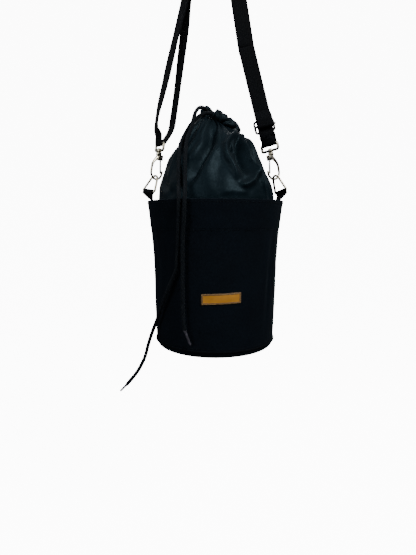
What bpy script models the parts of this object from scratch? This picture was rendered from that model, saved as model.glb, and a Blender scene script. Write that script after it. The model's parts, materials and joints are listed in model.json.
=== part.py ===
"""A drawstring bucket bag for a climber's rope and small gear, hanging from its shoulder strap.

Metres, +Z up, seen from the front along +Y. The world origin is the underside of the strap's
highest point, where a peg carries it. Everything below is modelled with heights counted from
the underside of the bag's base, under the empty bag_frame.
"""

import math

import bmesh
import bpy
from mathutils import Matrix, Vector

GAP = 0.0003  # between pieces that touch
STRAP_DROP = 0.555  # from the strap's highest point down to the base

# Bag body: outer radius at each height of the stiff canvas wall.
BODY_RADIUS = 0.079
BODY_HEIGHT = 0.185
RIM_FLARE = 0.007
WALL = 0.0016
LINING_WALL = 0.0006
FACING_WALL = 0.0014
FACING_DEPTH = 0.036
BASE_CORNER = 0.0075
BINDING_RADIUS = 0.0013
BASE_WALL = 0.0016
BOARD_THICKNESS = 0.002
BOARD_MARGIN = 0.0075
SEGMENTS = 40

# Gathered skirt and the drawcord casing at its mouth.
SKIRT_WALL = 0.002
SKIRT_INSET = 0.0058  # of its sewn edge, inside the facing and the tabs
SKIRT_HEIGHT = 0.1025  # of the casing's centre above the rim
SKIRT_LEAN_FROM = 0.6  # share of its rise where its rings start to tip towards the casing
SKIRT_BULGE = 0.004  # to the right of its middle, above that
# Its outline above the rim: share of the sewn radius over the mouth's, and share of its rise.
SKIRT_SHAPE = (
    (0.988, 0.07),
    (0.965, 0.2),
    (0.875, 0.355),
    (0.780, 0.51),
    (0.620, 0.66),
    (0.439, 0.815),
    (0.310, 0.883),
    (0.200, 0.935),
    (0.110, 0.965),
    (0.045, 0.985),
    (0.0, 1.0),
)
CASING_RADIUS = 0.012
CASING_OUTER = 0.006
CASING_TILT = math.radians(30)
CASING_FROM = math.radians(-98)
CASING_TO = math.radians(195)
CASING_SEAM = 0.0013  # from the casing down to the skirt's top edge
CORD_RADIUS = 0.0023
CORD_SLACK = 0.0005
TIP_RADIUS = 0.0015
TIP_GAP = 0.0009

# Sewn patch on the front.
PATCH_WIDTH = 0.0468
PATCH_DEPTH = 0.0128
PATCH_THICKNESS = 0.0008
PATCH_CENTRE = (0.0063, 0.0723)  # across, height

# Webbing.
WEBBING_WIDTH = 0.020
WEBBING_THICKNESS = 0.0014
TAB_WIDTH = 0.0165
TAB_CLEARANCE = 0.0011  # inside the facing, whose wall curves across the tab
TAB_NECK = 0.0021  # half the spread of the tab's two layers just below the ring's bar
TAB_SHARE = 0.6  # of the ring bar's sideways offset that the tab follows round the rim
LAYER_GAP = 0.0006
PEG_RADIUS = 0.014
SEWN_TAIL = 0.013
STEP = 0.006  # along the webbing, between sections

# Snap hooks, their eyes and the rings on the bag.
WIRE = 0.0014  # radius
HOOK_INSET = 0.0103  # of the bow's lowest point, inside the rim's edge
HOOK_RISE = 0.0277  # of the bow's lowest point above the rim
HOOK_LENGTH = 0.0356  # bow to the eye's lower bar
EYE_OPENING = 0.0054  # clear height between the eye's two bars
EYE_SPREAD = EYE_OPENING + 2 * WIRE
EYE_WIDTH = WEBBING_WIDTH + 2 * WIRE + 0.0012
EYE_CORNER = WIRE + 0.0002
BOSS_RADIUS = 0.0034
PIN_RADIUS = 0.0014
RIVET_RADIUS = 0.0024
HEAD_RADIUS = 0.0036
HEAD_LENGTH = 0.0049
CHEEK = 0.0012
GATE_WIDTH = 0.0018
GATE_PIN_RADIUS = 0.0009
GATE_EYE_RADIUS = 2.1 * GATE_PIN_RADIUS
GATE_OFFSET = 0.003  # of its pivot, towards the nose
GATE_CLEARANCE = 0.0004  # between its bar and the nose
GATE_LAP = 0.001  # of its tip, past the middle of the bow's curve
BOW_RADIUS = 0.0088
NOSE_LENGTH = 0.0018
RING_PLAY = 0.0013
RING_INSET = 0.0018  # of the ring's bar, inside the rim's edge
RING_HEIGHT = 0.022
RING_WIDTH = TAB_WIDTH + 0.0062
RING_TOP_RADIUS = 0.0065
RING_CORNER = 0.0022

# Slider on the right leg of the strap.
SLIDER_RISE = 0.0108  # of its middle, up the leg's straight
SLIDER_DEPTH = 0.0144
LEG_RISE = 0.0118  # of the straight's lower end above the eye's upper bar
LEG_INSET = 0.0032
LEG_TOP = (0.424, 0.4)  # of the straight, as a strap_point
LEG_YAW = 186  # of the webbing's width on the straight, in degrees

# How each side's hardware leans in and is turned about the vertical, as it hangs.
SIDES = {
    "left": {"sign": -1, "lean": 0.0064, "eye_yaw": -60, "ring_yaw": -42, "bar_y": -0.005},
    "right": {"sign": 1, "lean": 0.0077, "eye_yaw": -42, "ring_yaw": -60, "bar_y": 0.0},
}

# The strap's free stretches, each a strap_point and the yaw of the webbing's width in degrees.
SHOULDER_RIGHT = ((0.242, 0.590, -166), (0.092, 0.744, -148), (0.020, 0.890, -118))
SHOULDER_LEFT = ((0.046, 0.884, -80), (0.159, 0.744, -64), (0.361, 0.590, -52))
INNER_LEFT = ((0.421, 0.471, -54), (0.505, 0.351, -58), (0.588, 0.236, -62), (0.683, 0.120, -62), (0.760, 0.053, -61))
OUTER_LEFT = (
    (1.086, 0.064, -70),
    (1.059, 0.113, -78),
    (0.980, 0.176, -74),
    (0.870, 0.253, -70),
    (0.756, 0.341, -66),
    (0.588, 0.464, -60),
)

COLOURS = {
    "canvas": ((0.012, 0.018, 0.026), 0.85, 0.0),
    "canvas_trim": ((0.008, 0.011, 0.016), 0.8, 0.0),
    "nylon": ((0.018, 0.026, 0.034), 0.4, 0.0),
    "webbing": ((0.012, 0.012, 0.014), 0.7, 0.0),
    "cord": ((0.02, 0.02, 0.024), 0.65, 0.0),
    "cord_end": ((0.09, 0.08, 0.11), 0.35, 0.0),
    "board": ((0.05, 0.05, 0.05), 0.6, 0.0),
    "ochre": ((0.45, 0.28, 0.08), 0.7, 0.0),
    "nickel": ((0.62, 0.61, 0.58), 0.28, 1.0),
    "steel": ((0.4, 0.4, 0.42), 0.35, 1.0),
    "dark_steel": ((0.06, 0.06, 0.065), 0.4, 1.0),
}


def clear_scene():
    for obj in list(bpy.data.objects):
        bpy.data.objects.remove(obj, do_unlink=True)


def make_materials():
    made = {}
    for name, (colour, roughness, metallic) in COLOURS.items():
        material = bpy.data.materials.new(name)
        material.use_nodes = True
        shader = material.node_tree.nodes["Principled BSDF"]
        shader.inputs["Base Color"].default_value = (*colour, 1)
        shader.inputs["Roughness"].default_value = roughness
        shader.inputs["Metallic"].default_value = metallic
        made[name] = material
    return made


def empty(name, parent=None, matrix=None):
    """A helper that carries pieces, placed by a matrix in bag_frame's own space."""
    obj = bpy.data.objects.new(name, None)
    bpy.context.collection.objects.link(obj)
    if parent:
        obj.parent = parent
    if matrix:
        obj.matrix_basis = matrix
    return obj


def add_object(name, data, material, parent):
    obj = bpy.data.objects.new(name, data)
    bpy.context.collection.objects.link(obj)
    obj.parent = parent
    data.materials.append(MATERIALS[material])
    return obj


def mesh_from(name, points, faces):
    """A closed mesh with its faces turned outwards."""
    mesh = bpy.data.meshes.new(name)
    shape = bmesh.new()
    corners = [shape.verts.new(point) for point in points]
    for face in faces:
        shape.faces.new([corners[i] for i in face])
    bmesh.ops.recalc_face_normals(shape, faces=shape.faces)
    shape.to_mesh(mesh)
    shape.free()
    mesh.shade_smooth()
    mesh.set_sharp_from_angle(angle=math.radians(40))
    return mesh


def loft(rings, closed=False, capped=True):
    """Points and faces of a skin through rings with equal numbers of points."""
    count = len(rings[0])
    points = [point for ring in rings for point in ring]
    faces = []
    last = len(rings) if closed else len(rings) - 1
    for i in range(last):
        a, b = i * count, (i + 1) % len(rings) * count
        for j in range(count):
            k = (j + 1) % count
            faces.append((a + j, a + k, b + k, b + j))
    if capped and not closed:
        faces.append(tuple(range(count)))
        faces.append(tuple(range(len(points) - count, len(points))))
    return points, faces


def circle(radius, height, centre_x=0.0, tilt=0.0, count=SEGMENTS):
    """A level ring round the Z axis, or one moved along X and tipped about Y."""
    turn = Matrix.Rotation(tilt, 3, "Y")
    centre = Vector((centre_x, 0, height))
    ring = []
    for i in range(count):
        angle = 2 * math.pi * i / count
        ring.append(centre + turn @ Vector((radius * math.cos(angle), radius * math.sin(angle), 0)))
    return ring


def add_turned(name, profile, material, parent, closed=True):
    """A solid turned round Z. A closed profile makes a hollow ring; an open one is capped."""
    rings = [circle(radius, height) for radius, height in profile]
    return add_object(name, mesh_from(name, *loft(rings, closed=closed)), material, parent)


def smooth(controls, step):
    """Vectors on a smooth curve through others, at about equal steps of their first three numbers."""
    controls = [Vector(point) for point in controls]
    ends = [2 * controls[0] - controls[1]] + controls + [2 * controls[-1] - controls[-2]]
    curve = []
    for before, start, end, after in zip(ends, ends[1:], ends[2:], ends[3:]):
        span = (Vector(end[:3]) - Vector(start[:3])).length
        pieces = max(1, round(span / step))
        for i in range(pieces):
            t = i / pieces
            curve.append(
                0.5
                * (
                    2 * start
                    + (end - before) * t
                    + (2 * before - 5 * start + 4 * end - after) * t**2
                    + (3 * start - before - 3 * end + after) * t**3
                )
            )
    curve.append(controls[-1])
    return curve


def directions(points, closed=False):
    """The unit tangent at each point of a path."""
    count = len(points)
    found = []
    for i in range(count):
        before = points[i - 1] if closed else points[max(i - 1, 0)]
        after = points[(i + 1) % count] if closed else points[min(i + 1, count - 1)]
        found.append((after - before).normalized())
    return found


def tube_rings(points, radius, sides, closed=False):
    """Round sections along a path, carried along it without twisting."""
    tangents = directions(points, closed)
    side = tangents[0].orthogonal().normalized()
    rings = []
    for point, tangent in zip(points, tangents):
        side = (side - tangent * side.dot(tangent)).normalized()
        other = tangent.cross(side)
        rings.append(
            [
                point
                + radius * (math.cos(angle) * side + math.sin(angle) * other)
                for angle in (2 * math.pi * i / sides for i in range(sides))
            ]
        )
    return rings


def tube_mesh(name, points, radius, sides=8, closed=False):
    rings = tube_rings(points, radius, sides, closed)
    if closed:
        # The carried sections turn a little over a whole loop, so the seam joins nearest points.
        first = rings[0][0]
        shift = min(range(sides), key=lambda i: (rings[-1][i] - first).length)
        return mesh_from(name, *close_loop(rings, shift))
    return mesh_from(name, *loft(rings))


def close_loop(rings, shift):
    """A closed skin whose last ring joins the first with its points counted from shift."""
    points, faces = loft(rings, capped=False)
    count = len(rings[0])
    last = (len(rings) - 1) * count
    for j in range(count):
        a, b = last + (j + shift) % count, last + (j + 1 + shift) % count
        faces.append((a, b, (j + 1) % count, j))
    return points, faces


def box_mesh(name, low, high):
    points = [(x, y, z) for x in (low[0], high[0]) for y in (low[1], high[1]) for z in (low[2], high[2])]
    faces = [(0, 1, 3, 2), (4, 6, 7, 5), (0, 4, 5, 1), (2, 3, 7, 6), (0, 2, 6, 4), (1, 5, 7, 3)]
    return mesh_from(name, points, faces)


def cylinder_mesh(name, start, end, radius, sides=16):
    axis = Vector(end) - Vector(start)
    return tube_mesh(name, [Vector(start), Vector(start) + axis / 2, Vector(end)], radius, sides)


def combine(obj, helper_mesh, operation):
    """Joins a helper shape to a piece, or cuts it out of the piece."""
    helper = bpy.data.objects.new(obj.name + "_helper", helper_mesh)
    bpy.context.collection.objects.link(helper)
    helper.parent = obj
    helper.hide_render = True
    helper.display_type = "WIRE"
    change = obj.modifiers.new(operation.lower(), "BOOLEAN")
    change.operation = operation
    change.object = helper


def rounded_rectangle(half_width, half_height, corner, steps=3):
    """The outline of a rectangle in the XZ plane with round corners, as points in order."""
    outline = []
    for quarter, (sx, sz) in enumerate(((1, 1), (-1, 1), (-1, -1), (1, -1))):
        centre = Vector((sx * (half_width - corner), 0, sz * (half_height - corner)))
        for i in range(steps + 1):
            angle = math.pi / 2 * (quarter + i / steps)
            outline.append(centre + corner * Vector((math.cos(angle), 0, math.sin(angle))))
    return outline


# Bag body


def body_radius(height):
    """Outer radius of the canvas wall: nearly straight, with the rim flaring out."""
    share = height / BODY_HEIGHT
    taper = 0.003 * (1 - share) ** 2
    flare = RIM_FLARE * max(0.0, (share - 0.56) / 0.44) ** 2
    return BODY_RADIUS - taper + flare


def wall_profile(low, high, outset, wall, steps=7):
    """A band of the wall, its outer face lying outset from the canvas wall's outer face."""
    heights = [low + (high - low) * i / steps for i in range(steps + 1)]
    outer = [(body_radius(h) + outset, h) for h in heights]
    inner = [(body_radius(h) + outset - wall, h) for h in reversed(heights)]
    return outer + inner


def base_edge():
    """Radius of the base's flat and the height where its turned-up edge stops."""
    flat = body_radius(0) - BASE_CORNER
    return flat, BASE_CORNER - GAP


def build_body(parent):
    flat, edge = base_edge()
    binding_height = edge + GAP + BINDING_RADIUS
    panel_low = binding_height + BINDING_RADIUS + GAP
    add_turned("body_panel", wall_profile(panel_low, BODY_HEIGHT, 0, WALL), "canvas", parent)
    facing_low = BODY_HEIGHT - FACING_DEPTH
    inside = -WALL - GAP
    add_turned(
        "rim_facing",
        wall_profile(facing_low, BODY_HEIGHT - GAP, inside, FACING_WALL, 4),
        "canvas_trim",
        parent,
    )

    corner_steps = 5
    angles = [math.pi / 2 * i / corner_steps for i in range(corner_steps)]
    last_angle = math.asin(edge / BASE_CORNER - 1) + math.pi / 2
    angles.append(last_angle)
    outer = [
        (flat + BASE_CORNER * math.sin(a), BASE_CORNER - BASE_CORNER * math.cos(a)) for a in angles
    ]
    inner_corner = BASE_CORNER - BASE_WALL
    inner = [
        (flat + inner_corner * math.sin(a), BASE_CORNER - inner_corner * math.cos(a))
        for a in reversed(angles)
    ]
    add_turned("base_panel", outer + inner, "canvas", parent, closed=False)

    board_radius = flat + BASE_CORNER - BOARD_MARGIN
    board_low = BASE_WALL + GAP
    board_high = board_low + BOARD_THICKNESS
    add_turned("base_board", [(board_radius, board_low), (board_radius, board_high)], "board", parent, closed=False)

    ring_radius = body_radius(binding_height) - BINDING_RADIUS / 2
    binding = [Vector(point) for point in circle(ring_radius, binding_height)]
    add_object("base_binding", tube_mesh("base_binding", binding, BINDING_RADIUS, 6, True), "canvas_trim", parent)

    lining_floor = board_high + GAP
    lining_low = panel_low + 0.002
    lining_top = facing_low - GAP
    steps = 4
    heights = [lining_low + (lining_top - lining_low) * i / steps for i in range(steps + 1)]
    outer = [(board_radius, lining_floor)] + [(body_radius(h) - WALL - 2 * GAP, h) for h in heights]
    inner = [(r - LINING_WALL, h) for r, h in reversed(outer[1:])]
    inner.append((board_radius - LINING_WALL, lining_floor + LINING_WALL))
    add_turned("lining", outer + inner, "nylon", parent, closed=False)


def casing_matrix():
    centre = Vector((0, 0, BODY_HEIGHT + SKIRT_HEIGHT))
    return Matrix.Translation(centre) @ Matrix.Rotation(CASING_TILT, 4, "Y")


def build_skirt(parent):
    """The gathered upper: sewn inside the rim, and drawn in to a tipped mouth under the casing."""
    under_casing = casing_matrix() @ Vector((0, 0, -CASING_OUTER - CASING_SEAM))
    rim = BODY_HEIGHT
    sewn_radius = body_radius(rim - FACING_DEPTH) - WALL - FACING_WALL - SKIRT_INSET
    mouth_radius = CASING_RADIUS + SKIRT_WALL / 2
    outer = [circle(sewn_radius, rim - FACING_DEPTH + 0.002), circle(sewn_radius - 0.001, rim - 0.012)]
    inner = [circle(sewn_radius - SKIRT_WALL, rim - FACING_DEPTH + 0.002)]
    inner.append(circle(sewn_radius - 0.001 - SKIRT_WALL, rim - 0.012))
    for width, rise in SKIRT_SHAPE:
        radius = mouth_radius + (sewn_radius - mouth_radius) * width
        height = rim + (under_casing.z - rim) * rise
        lean = max(0.0, rise - SKIRT_LEAN_FROM) / (1 - SKIRT_LEAN_FROM)
        bulge = SKIRT_BULGE * math.sin(math.pi * min(1.0, lean * 1.4))
        sideways = under_casing.x * lean**2 + bulge
        tip = CASING_TILT * lean**1.5
        outer.append(circle(radius, height, sideways, tip))
        inner.append(circle(radius - SKIRT_WALL, height - SKIRT_WALL * rise, sideways, tip))
    points, faces = loft(outer + inner[::-1], closed=True)
    add_object("skirt", mesh_from("skirt", points, faces), "nylon", parent)


def casing_arc(start, end, steps):
    """Points round the casing's centre line, in bag_frame's space."""
    placed = casing_matrix()
    arc = []
    for i in range(steps + 1):
        angle = start + (end - start) * i / steps
        arc.append(placed @ Vector((CASING_RADIUS * math.cos(angle), CASING_RADIUS * math.sin(angle), 0)))
    return arc


def build_casing(parent):
    """A short gathered tube bent into an open ring, with the drawcord running through it."""
    line = casing_arc(CASING_FROM, CASING_TO, 20)
    outer = tube_rings(line, CASING_OUTER, 10)
    inner = tube_rings(line, CORD_RADIUS + CORD_SLACK, 10)
    points, faces = loft(outer + inner[::-1], closed=True)
    add_object("mouth_casing", mesh_from("mouth_casing", points, faces), "nylon", parent)
    inset = math.radians(2)
    loop = casing_arc(CASING_FROM + inset, CASING_TO - inset, 20)
    add_cord("drawcord_loop", loop, CORD_RADIUS, parent)


# Drawcord: two tails of one cord leave the casing, cross the rim and hang down the front.

TAIL_LONG = [
    (-0.0030, -0.0118, 0.2892),
    (-0.0085, -0.0140, 0.2900),
    (-0.0160, -0.0175, 0.2880),
    (-0.0232, -0.0205, 0.2824),
    (-0.0300, -0.0220, 0.2748),
    (-0.0355, -0.0240, 0.2656),
    (-0.0396, -0.0315, 0.2560),
    (-0.0422, -0.0395, 0.2457),
    (-0.0427, -0.0495, 0.2299),
    (-0.0427, -0.0570, 0.2141),
    (-0.0421, -0.0640, 0.2000),
    (-0.0412, -0.0790, 0.1880),
    (-0.0414, -0.0800, 0.1760),
    (-0.0418, -0.0775, 0.1600),
    (-0.0430, -0.0745, 0.1400),
    (-0.0440, -0.0715, 0.1200),
    (-0.0455, -0.0700, 0.1050),
    (-0.0520, -0.0655, 0.0900),
    (-0.0595, -0.0590, 0.0720),
    (-0.0660, -0.0515, 0.0550),
    (-0.0725, -0.0420, 0.0380),
    (-0.0790, -0.0320, 0.0220),
    (-0.0850, -0.0270, 0.0050),
    (-0.0905, -0.0260, -0.0140),
    (-0.1000, -0.0270, -0.0320),
    (-0.1130, -0.0290, -0.0480),
]
TAIL_SHORT = [
    (-0.0100, -0.0048, 0.2936),
    (-0.0120, -0.0090, 0.2956),
    (-0.0166, -0.0150, 0.2966),
    (-0.0212, -0.0210, 0.2934),
    (-0.0248, -0.0260, 0.2862),
    (-0.0272, -0.0295, 0.2766),
    (-0.0304, -0.0330, 0.2652),
    (-0.0338, -0.0390, 0.2548),
    (-0.0350, -0.0492, 0.2395),
    (-0.0350, -0.0582, 0.2232),
    (-0.0350, -0.0645, 0.2075),
    (-0.0345, -0.0745, 0.1950),
    (-0.0347, -0.0828, 0.1860),
    (-0.0350, -0.0838, 0.1760),
    (-0.0358, -0.0815, 0.1620),
    (-0.0370, -0.0785, 0.1450),
    (-0.0378, -0.0762, 0.1200),
    (-0.0380, -0.0755, 0.0850),
    (-0.0378, -0.0752, 0.0550),
    (-0.0360, -0.0755, 0.0350),
]
TIPS = {
    "cord_tip_long": (TAIL_LONG, Vector((-0.0085, -0.0012, -0.0085)), 0.012),
    "cord_tip_short": (TAIL_SHORT, Vector((0.0045, -0.0002, -0.0120)), 0.018),
}


def add_cord(name, points, radius, parent):
    """A round cord along a path, as a bevelled curve with closed ends."""
    curve = bpy.data.curves.new(name, "CURVE")
    curve.dimensions = "3D"
    curve.bevel_depth = radius
    curve.bevel_resolution = 2
    curve.use_fill_caps = True
    spline = curve.splines.new("POLY")
    spline.points.add(len(points) - 1)
    for spot, point in zip(spline.points, points):
        spot.co = (*point, 1)
    spline.use_smooth = True
    return add_object(name, curve, "cord", parent)


def build_drawcord_tails(parent):
    add_cord("drawcord_tail_long", smooth(TAIL_LONG, CORD_RADIUS * 6), CORD_RADIUS, parent)
    add_cord("drawcord_tail_short", smooth(TAIL_SHORT, CORD_RADIUS * 6), CORD_RADIUS, parent)
    for name, (route, heading, length) in TIPS.items():
        heading = heading.normalized()
        start = Vector(route[-1]) + heading * TIP_GAP
        mesh = cylinder_mesh(name, start, start + heading * length, TIP_RADIUS, 8)
        add_object(name, mesh, "cord_end", parent)


def build_patch(parent):
    """A thin strip lying on the wall, a little out of level."""
    across, height = PATCH_CENTRE
    columns = 10
    slope = math.tan(math.radians(2))
    rings = []
    for i in range(columns + 1):
        x = across + PATCH_WIDTH * (i / columns - 0.5)
        azimuth = x / BODY_RADIUS
        middle = height + slope * (x - across)
        section = []
        for radial, rise in ((0, -1), (1, -1), (1, 1), (0, 1)):
            h = middle + rise * PATCH_DEPTH / 2
            r = body_radius(h) + GAP + radial * PATCH_THICKNESS
            section.append(Vector((r * math.sin(azimuth), -r * math.cos(azimuth), h)))
        rings.append(section)
    add_object("patch", mesh_from("patch", *loft(rings)), "ochre", parent)


# Hardware


def frame_matrix(origin, across, up):
    """A placing whose Z runs along up and whose X lies nearest to across."""
    up = up.normalized()
    across = (across - up * across.dot(up)).normalized()
    depth = up.cross(across)
    matrix = Matrix((across, depth, up)).transposed().to_4x4()
    return Matrix.Translation(origin) @ matrix


def level(yaw_degrees):
    angle = math.radians(yaw_degrees)
    return Vector((math.cos(angle), math.sin(angle), 0))


def hook_axis(side):
    """Upward direction of a hook, from its bow to its eye."""
    sideways = -side["sign"] * side["lean"]
    reach = HOOK_LENGTH + EYE_SPREAD
    return Vector((sideways, 0, math.sqrt(reach**2 - sideways**2))).normalized()


def bow_point(side):
    return Vector((side["sign"] * (body_radius(BODY_HEIGHT) - HOOK_INSET), 0, BODY_HEIGHT + HOOK_RISE))


def eye_matrix(side):
    """The eye's placing: origin in the middle of its lower bar, X along its bars."""
    axis = hook_axis(side)
    return frame_matrix(bow_point(side) + axis * HOOK_LENGTH, level(side["eye_yaw"]), axis)


def hook_matrix(side):
    """The hook's placing: the same origin and Z, and X from its spine towards its nose."""
    axis = hook_axis(side)
    towards_nose = level(side["ring_yaw"] + (90 if side["sign"] < 0 else -90))
    return frame_matrix(bow_point(side) + axis * HOOK_LENGTH, towards_nose, axis)


def build_eye(label, side, parent):
    carrier = empty("eye_frame_" + label, parent, eye_matrix(side))
    outline = rounded_rectangle(EYE_WIDTH / 2, EYE_SPREAD / 2, EYE_CORNER)
    loop = [point + Vector((0, 0, EYE_SPREAD / 2)) for point in outline]
    eye = add_object("swivel_eye_" + label, tube_mesh("eye", loop, WIRE, 8, True), "nickel", carrier)
    half = WIRE + GAP
    combine(eye, cylinder_mesh("boss", (0, 0, -half), (0, 0, half), BOSS_RADIUS), "UNION")
    bore = PIN_RADIUS + GAP
    combine(eye, cylinder_mesh("bore", (0, 0, -2 * half), (0, 0, 2 * half), bore, 12), "DIFFERENCE")


def head_ends():
    """Heights of the head's top, just under the eye's boss, and of its underside."""
    top = -WIRE - 2 * GAP
    return top, top - HEAD_LENGTH


def gate_line():
    """The gate's pivot and the middle of its closed tip, inside the nose."""
    pivot = Vector((GATE_OFFSET, 0, head_ends()[1] - GATE_EYE_RADIUS - GATE_CLEARANCE))
    tip_x = BOW_RADIUS - WIRE - GATE_CLEARANCE - GATE_WIDTH / 2
    tip = Vector((tip_x, 0, -HOOK_LENGTH + BOW_RADIUS - GATE_LAP))
    return pivot, tip


def hook_path():
    """Centre line of the bent hook wire, from inside its head round the bow to the nose."""
    route = [
        (-0.0004, 0.0007),
        (-0.0022, -0.0023),
        (-0.0062, -0.0069),
        (-0.0084, -0.0116),
    ]
    centre = Vector((0, 0, -HOOK_LENGTH + BOW_RADIUS))
    points = [Vector((x, 0, head_ends()[1] + z)) for x, z in route]
    for i in range(9):
        angle = math.pi + math.pi * i / 8
        points.append(centre + BOW_RADIUS * Vector((math.cos(angle), 0, math.sin(angle))))
    points.append(Vector((BOW_RADIUS, 0, centre.z + NOSE_LENGTH)))
    return smooth(points, 0.003)


def build_hook(label, side, parent):
    carrier = empty("hook_frame_" + label, parent, hook_matrix(side))
    head_top, head_low = head_ends()
    pivot, tip = gate_line()
    cheek_inner = GATE_WIDTH / 2 + 0.0007

    body = add_object(
        "hook_body_" + label, tube_mesh("hook", hook_path(), WIRE, 8), "nickel", carrier
    )
    combine(body, cylinder_mesh("head", (0, 0, head_low), (0, 0, head_top), HEAD_RADIUS), "UNION")
    for turn in (-1, 1):
        near, far = sorted((turn * cheek_inner, turn * (cheek_inner + CHEEK)))
        low = (-0.0012, near, pivot.z - 0.0026)
        high = (pivot.x + 0.0026, far, head_low + 0.0012)
        combine(body, box_mesh("cheek", low, high), "UNION")
    socket = PIN_RADIUS + GAP
    combine(
        body,
        cylinder_mesh("socket", (0, 0, head_top - 0.0034), (0, 0, head_top + WIRE), socket, 12),
        "DIFFERENCE",
    )
    reach = cheek_inner + 2 * CHEEK
    pin_bore = GATE_PIN_RADIUS + GAP
    combine(
        body,
        cylinder_mesh("pin_bore", pivot - Vector((0, reach, 0)), pivot + Vector((0, reach, 0)), pin_bore, 12),
        "DIFFERENCE",
    )

    stem_low = head_top - 0.0034 + GAP
    boss_top = WIRE + 2 * GAP
    pin = add_object(
        "swivel_pin_" + label,
        cylinder_mesh("pin", (0, 0, stem_low), (0, 0, boss_top + 0.0005), PIN_RADIUS, 12),
        "steel",
        carrier,
    )
    rivet = cylinder_mesh("rivet", (0, 0, boss_top), (0, 0, boss_top + 0.0011), RIVET_RADIUS, 12)
    combine(pin, rivet, "UNION")

    outside = cheek_inner + CHEEK + GAP
    gate_pin = add_object(
        "gate_pin_" + label,
        cylinder_mesh("gate_pin", (0, -outside, 0), (0, outside, 0), GATE_PIN_RADIUS, 10),
        "dark_steel",
        carrier,
    )
    gate_pin.location = pivot
    for turn in (-1, 1):
        start = (0, turn * outside * 0.99, 0)
        end = (0, turn * (outside + 0.0007), 0)
        combine(gate_pin, cylinder_mesh("pin_head", start, end, GATE_PIN_RADIUS * 2, 12), "UNION")

    build_gate(label, pivot, tip, carrier)


def build_gate(label, pivot, tip, carrier):
    """The sprung gate, its origin on its pivot, and the small coil spring beside it."""
    low_side, high_side = -GATE_WIDTH / 2 - 0.0004, GATE_WIDTH / 2 - 0.0004
    gate = add_object(
        "gate_" + label,
        cylinder_mesh("gate_eye", (0, low_side, 0), (0, high_side, 0), GATE_EYE_RADIUS, 14),
        "steel",
        carrier,
    )
    gate.location = pivot
    length = (tip - pivot).length
    lean = math.atan2(tip.x - pivot.x, pivot.z - tip.z)
    half = GATE_WIDTH / 2
    low = (-half, low_side + 0.0001, -length)
    high = (half, high_side - 0.0001, -GATE_PIN_RADIUS)
    bar = box_mesh("gate_bar", low, high)
    bar.transform(Matrix.Rotation(-lean, 4, "Y"))
    combine(gate, bar, "UNION")
    bore = GATE_PIN_RADIUS + GAP
    combine(gate, cylinder_mesh("gate_bore", (0, -0.004, 0), (0, 0.004, 0), bore, 10), "DIFFERENCE")

    coil_radius = GATE_PIN_RADIUS + GAP + 0.0004
    wire = 0.00022
    middle = high_side + GAP + wire
    coil = [
        Vector((coil_radius * math.cos(a), middle, coil_radius * math.sin(a)))
        for a in (2 * math.pi * i / 14 for i in range(14))
    ]
    spring = add_object(
        "gate_spring_" + label, tube_mesh("spring", coil, wire, 6, True), "steel", carrier
    )
    spring.location = pivot


def ring_top(side):
    """Centre of the ring's wire where it rides in the hook's bow."""
    return bow_point(side) + Vector((0, 0, 2 * WIRE + RING_PLAY))


def ring_bar(side):
    """Middle of the ring's straight bar, held in the tab."""
    top = ring_top(side)
    sideways = side["sign"] * (body_radius(BODY_HEIGHT) - RING_INSET) - top.x
    drop = math.sqrt(RING_HEIGHT**2 - sideways**2 - side["bar_y"] ** 2)
    return Vector((top.x + sideways, side["bar_y"], top.z - drop))


def ring_matrix(side):
    bar = ring_bar(side)
    return frame_matrix(bar, level(side["ring_yaw"]), ring_top(side) - bar)


def ring_outline():
    """A delta: a straight bar with round corners below, and legs closing to a round top."""
    half = RING_WIDTH / 2
    outline = []
    for i in range(4):
        angle = math.radians(-90 - 40 * i)
        outline.append(Vector((-half + RING_CORNER, 0, RING_CORNER)) + RING_CORNER * vector_xz(angle))
    for i in range(9):
        angle = math.radians(158 - 17 * i)
        outline.append(Vector((0, 0, RING_HEIGHT - RING_TOP_RADIUS)) + RING_TOP_RADIUS * vector_xz(angle))
    for i in range(4):
        angle = math.radians(30 - 40 * i)
        outline.append(Vector((half - RING_CORNER, 0, RING_CORNER)) + RING_CORNER * vector_xz(angle))
    return outline


def vector_xz(angle):
    return Vector((math.cos(angle), 0, math.sin(angle)))


def build_ring(label, side, parent):
    carrier = empty("ring_frame_" + label, parent, ring_matrix(side))
    mesh = tube_mesh("ring", ring_outline(), WIRE, 8, True)
    add_object("d_ring_" + label, mesh, "nickel", carrier)


# Webbing


def squared(width, tangent):
    """The direction nearest to width that is square to the path."""
    return (width - tangent * width.dot(tangent)).normalized()


def add_ribbon(name, frames, parent, breadth=WEBBING_WIDTH, columns=2):
    """Webbing along a path. Each frame is a point and the direction of the webbing's width."""
    points = [point for point, _ in frames]
    shares = [2 * i / columns - 1 for i in range(columns + 1)]
    rings = []
    for (point, width), tangent in zip(frames, directions(points)):
        normal = tangent.cross(width).normalized() * (WEBBING_THICKNESS / 2)
        width = width.normalized() * (breadth / 2)
        under = [point - normal + width * share for share in shares]
        over = [point + normal + width * share for share in reversed(shares)]
        rings.append(under + over)
    return add_object(name, mesh_from(name, *loft(rings)), "webbing", parent)


def smooth_frames(controls, step):
    """A smooth run of frames through control frames."""
    joined = [Vector((*point, *width)) for point, width in controls]
    return [(Vector(v[:3]), Vector(v[3:])) for v in smooth(joined, step)]


def square_frames(controls, step):
    """The same, with each width turned square to the path."""
    frames = smooth_frames(controls, step)
    tangents = directions([point for point, _ in frames])
    return [(point, squared(width, tangent)) for (point, width), tangent in zip(frames, tangents)]


def round_bar(centre, across, up, bar, start, end, steps=6):
    """Control frames round a bar: angles from across towards up, in degrees."""
    reach = WIRE + GAP + WEBBING_THICKNESS / 2
    frames = []
    for i in range(steps + 1):
        angle = math.radians(start + (end - start) * i / steps)
        frames.append((centre + reach * (math.cos(angle) * across + math.sin(angle) * up), bar))
    return frames


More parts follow.
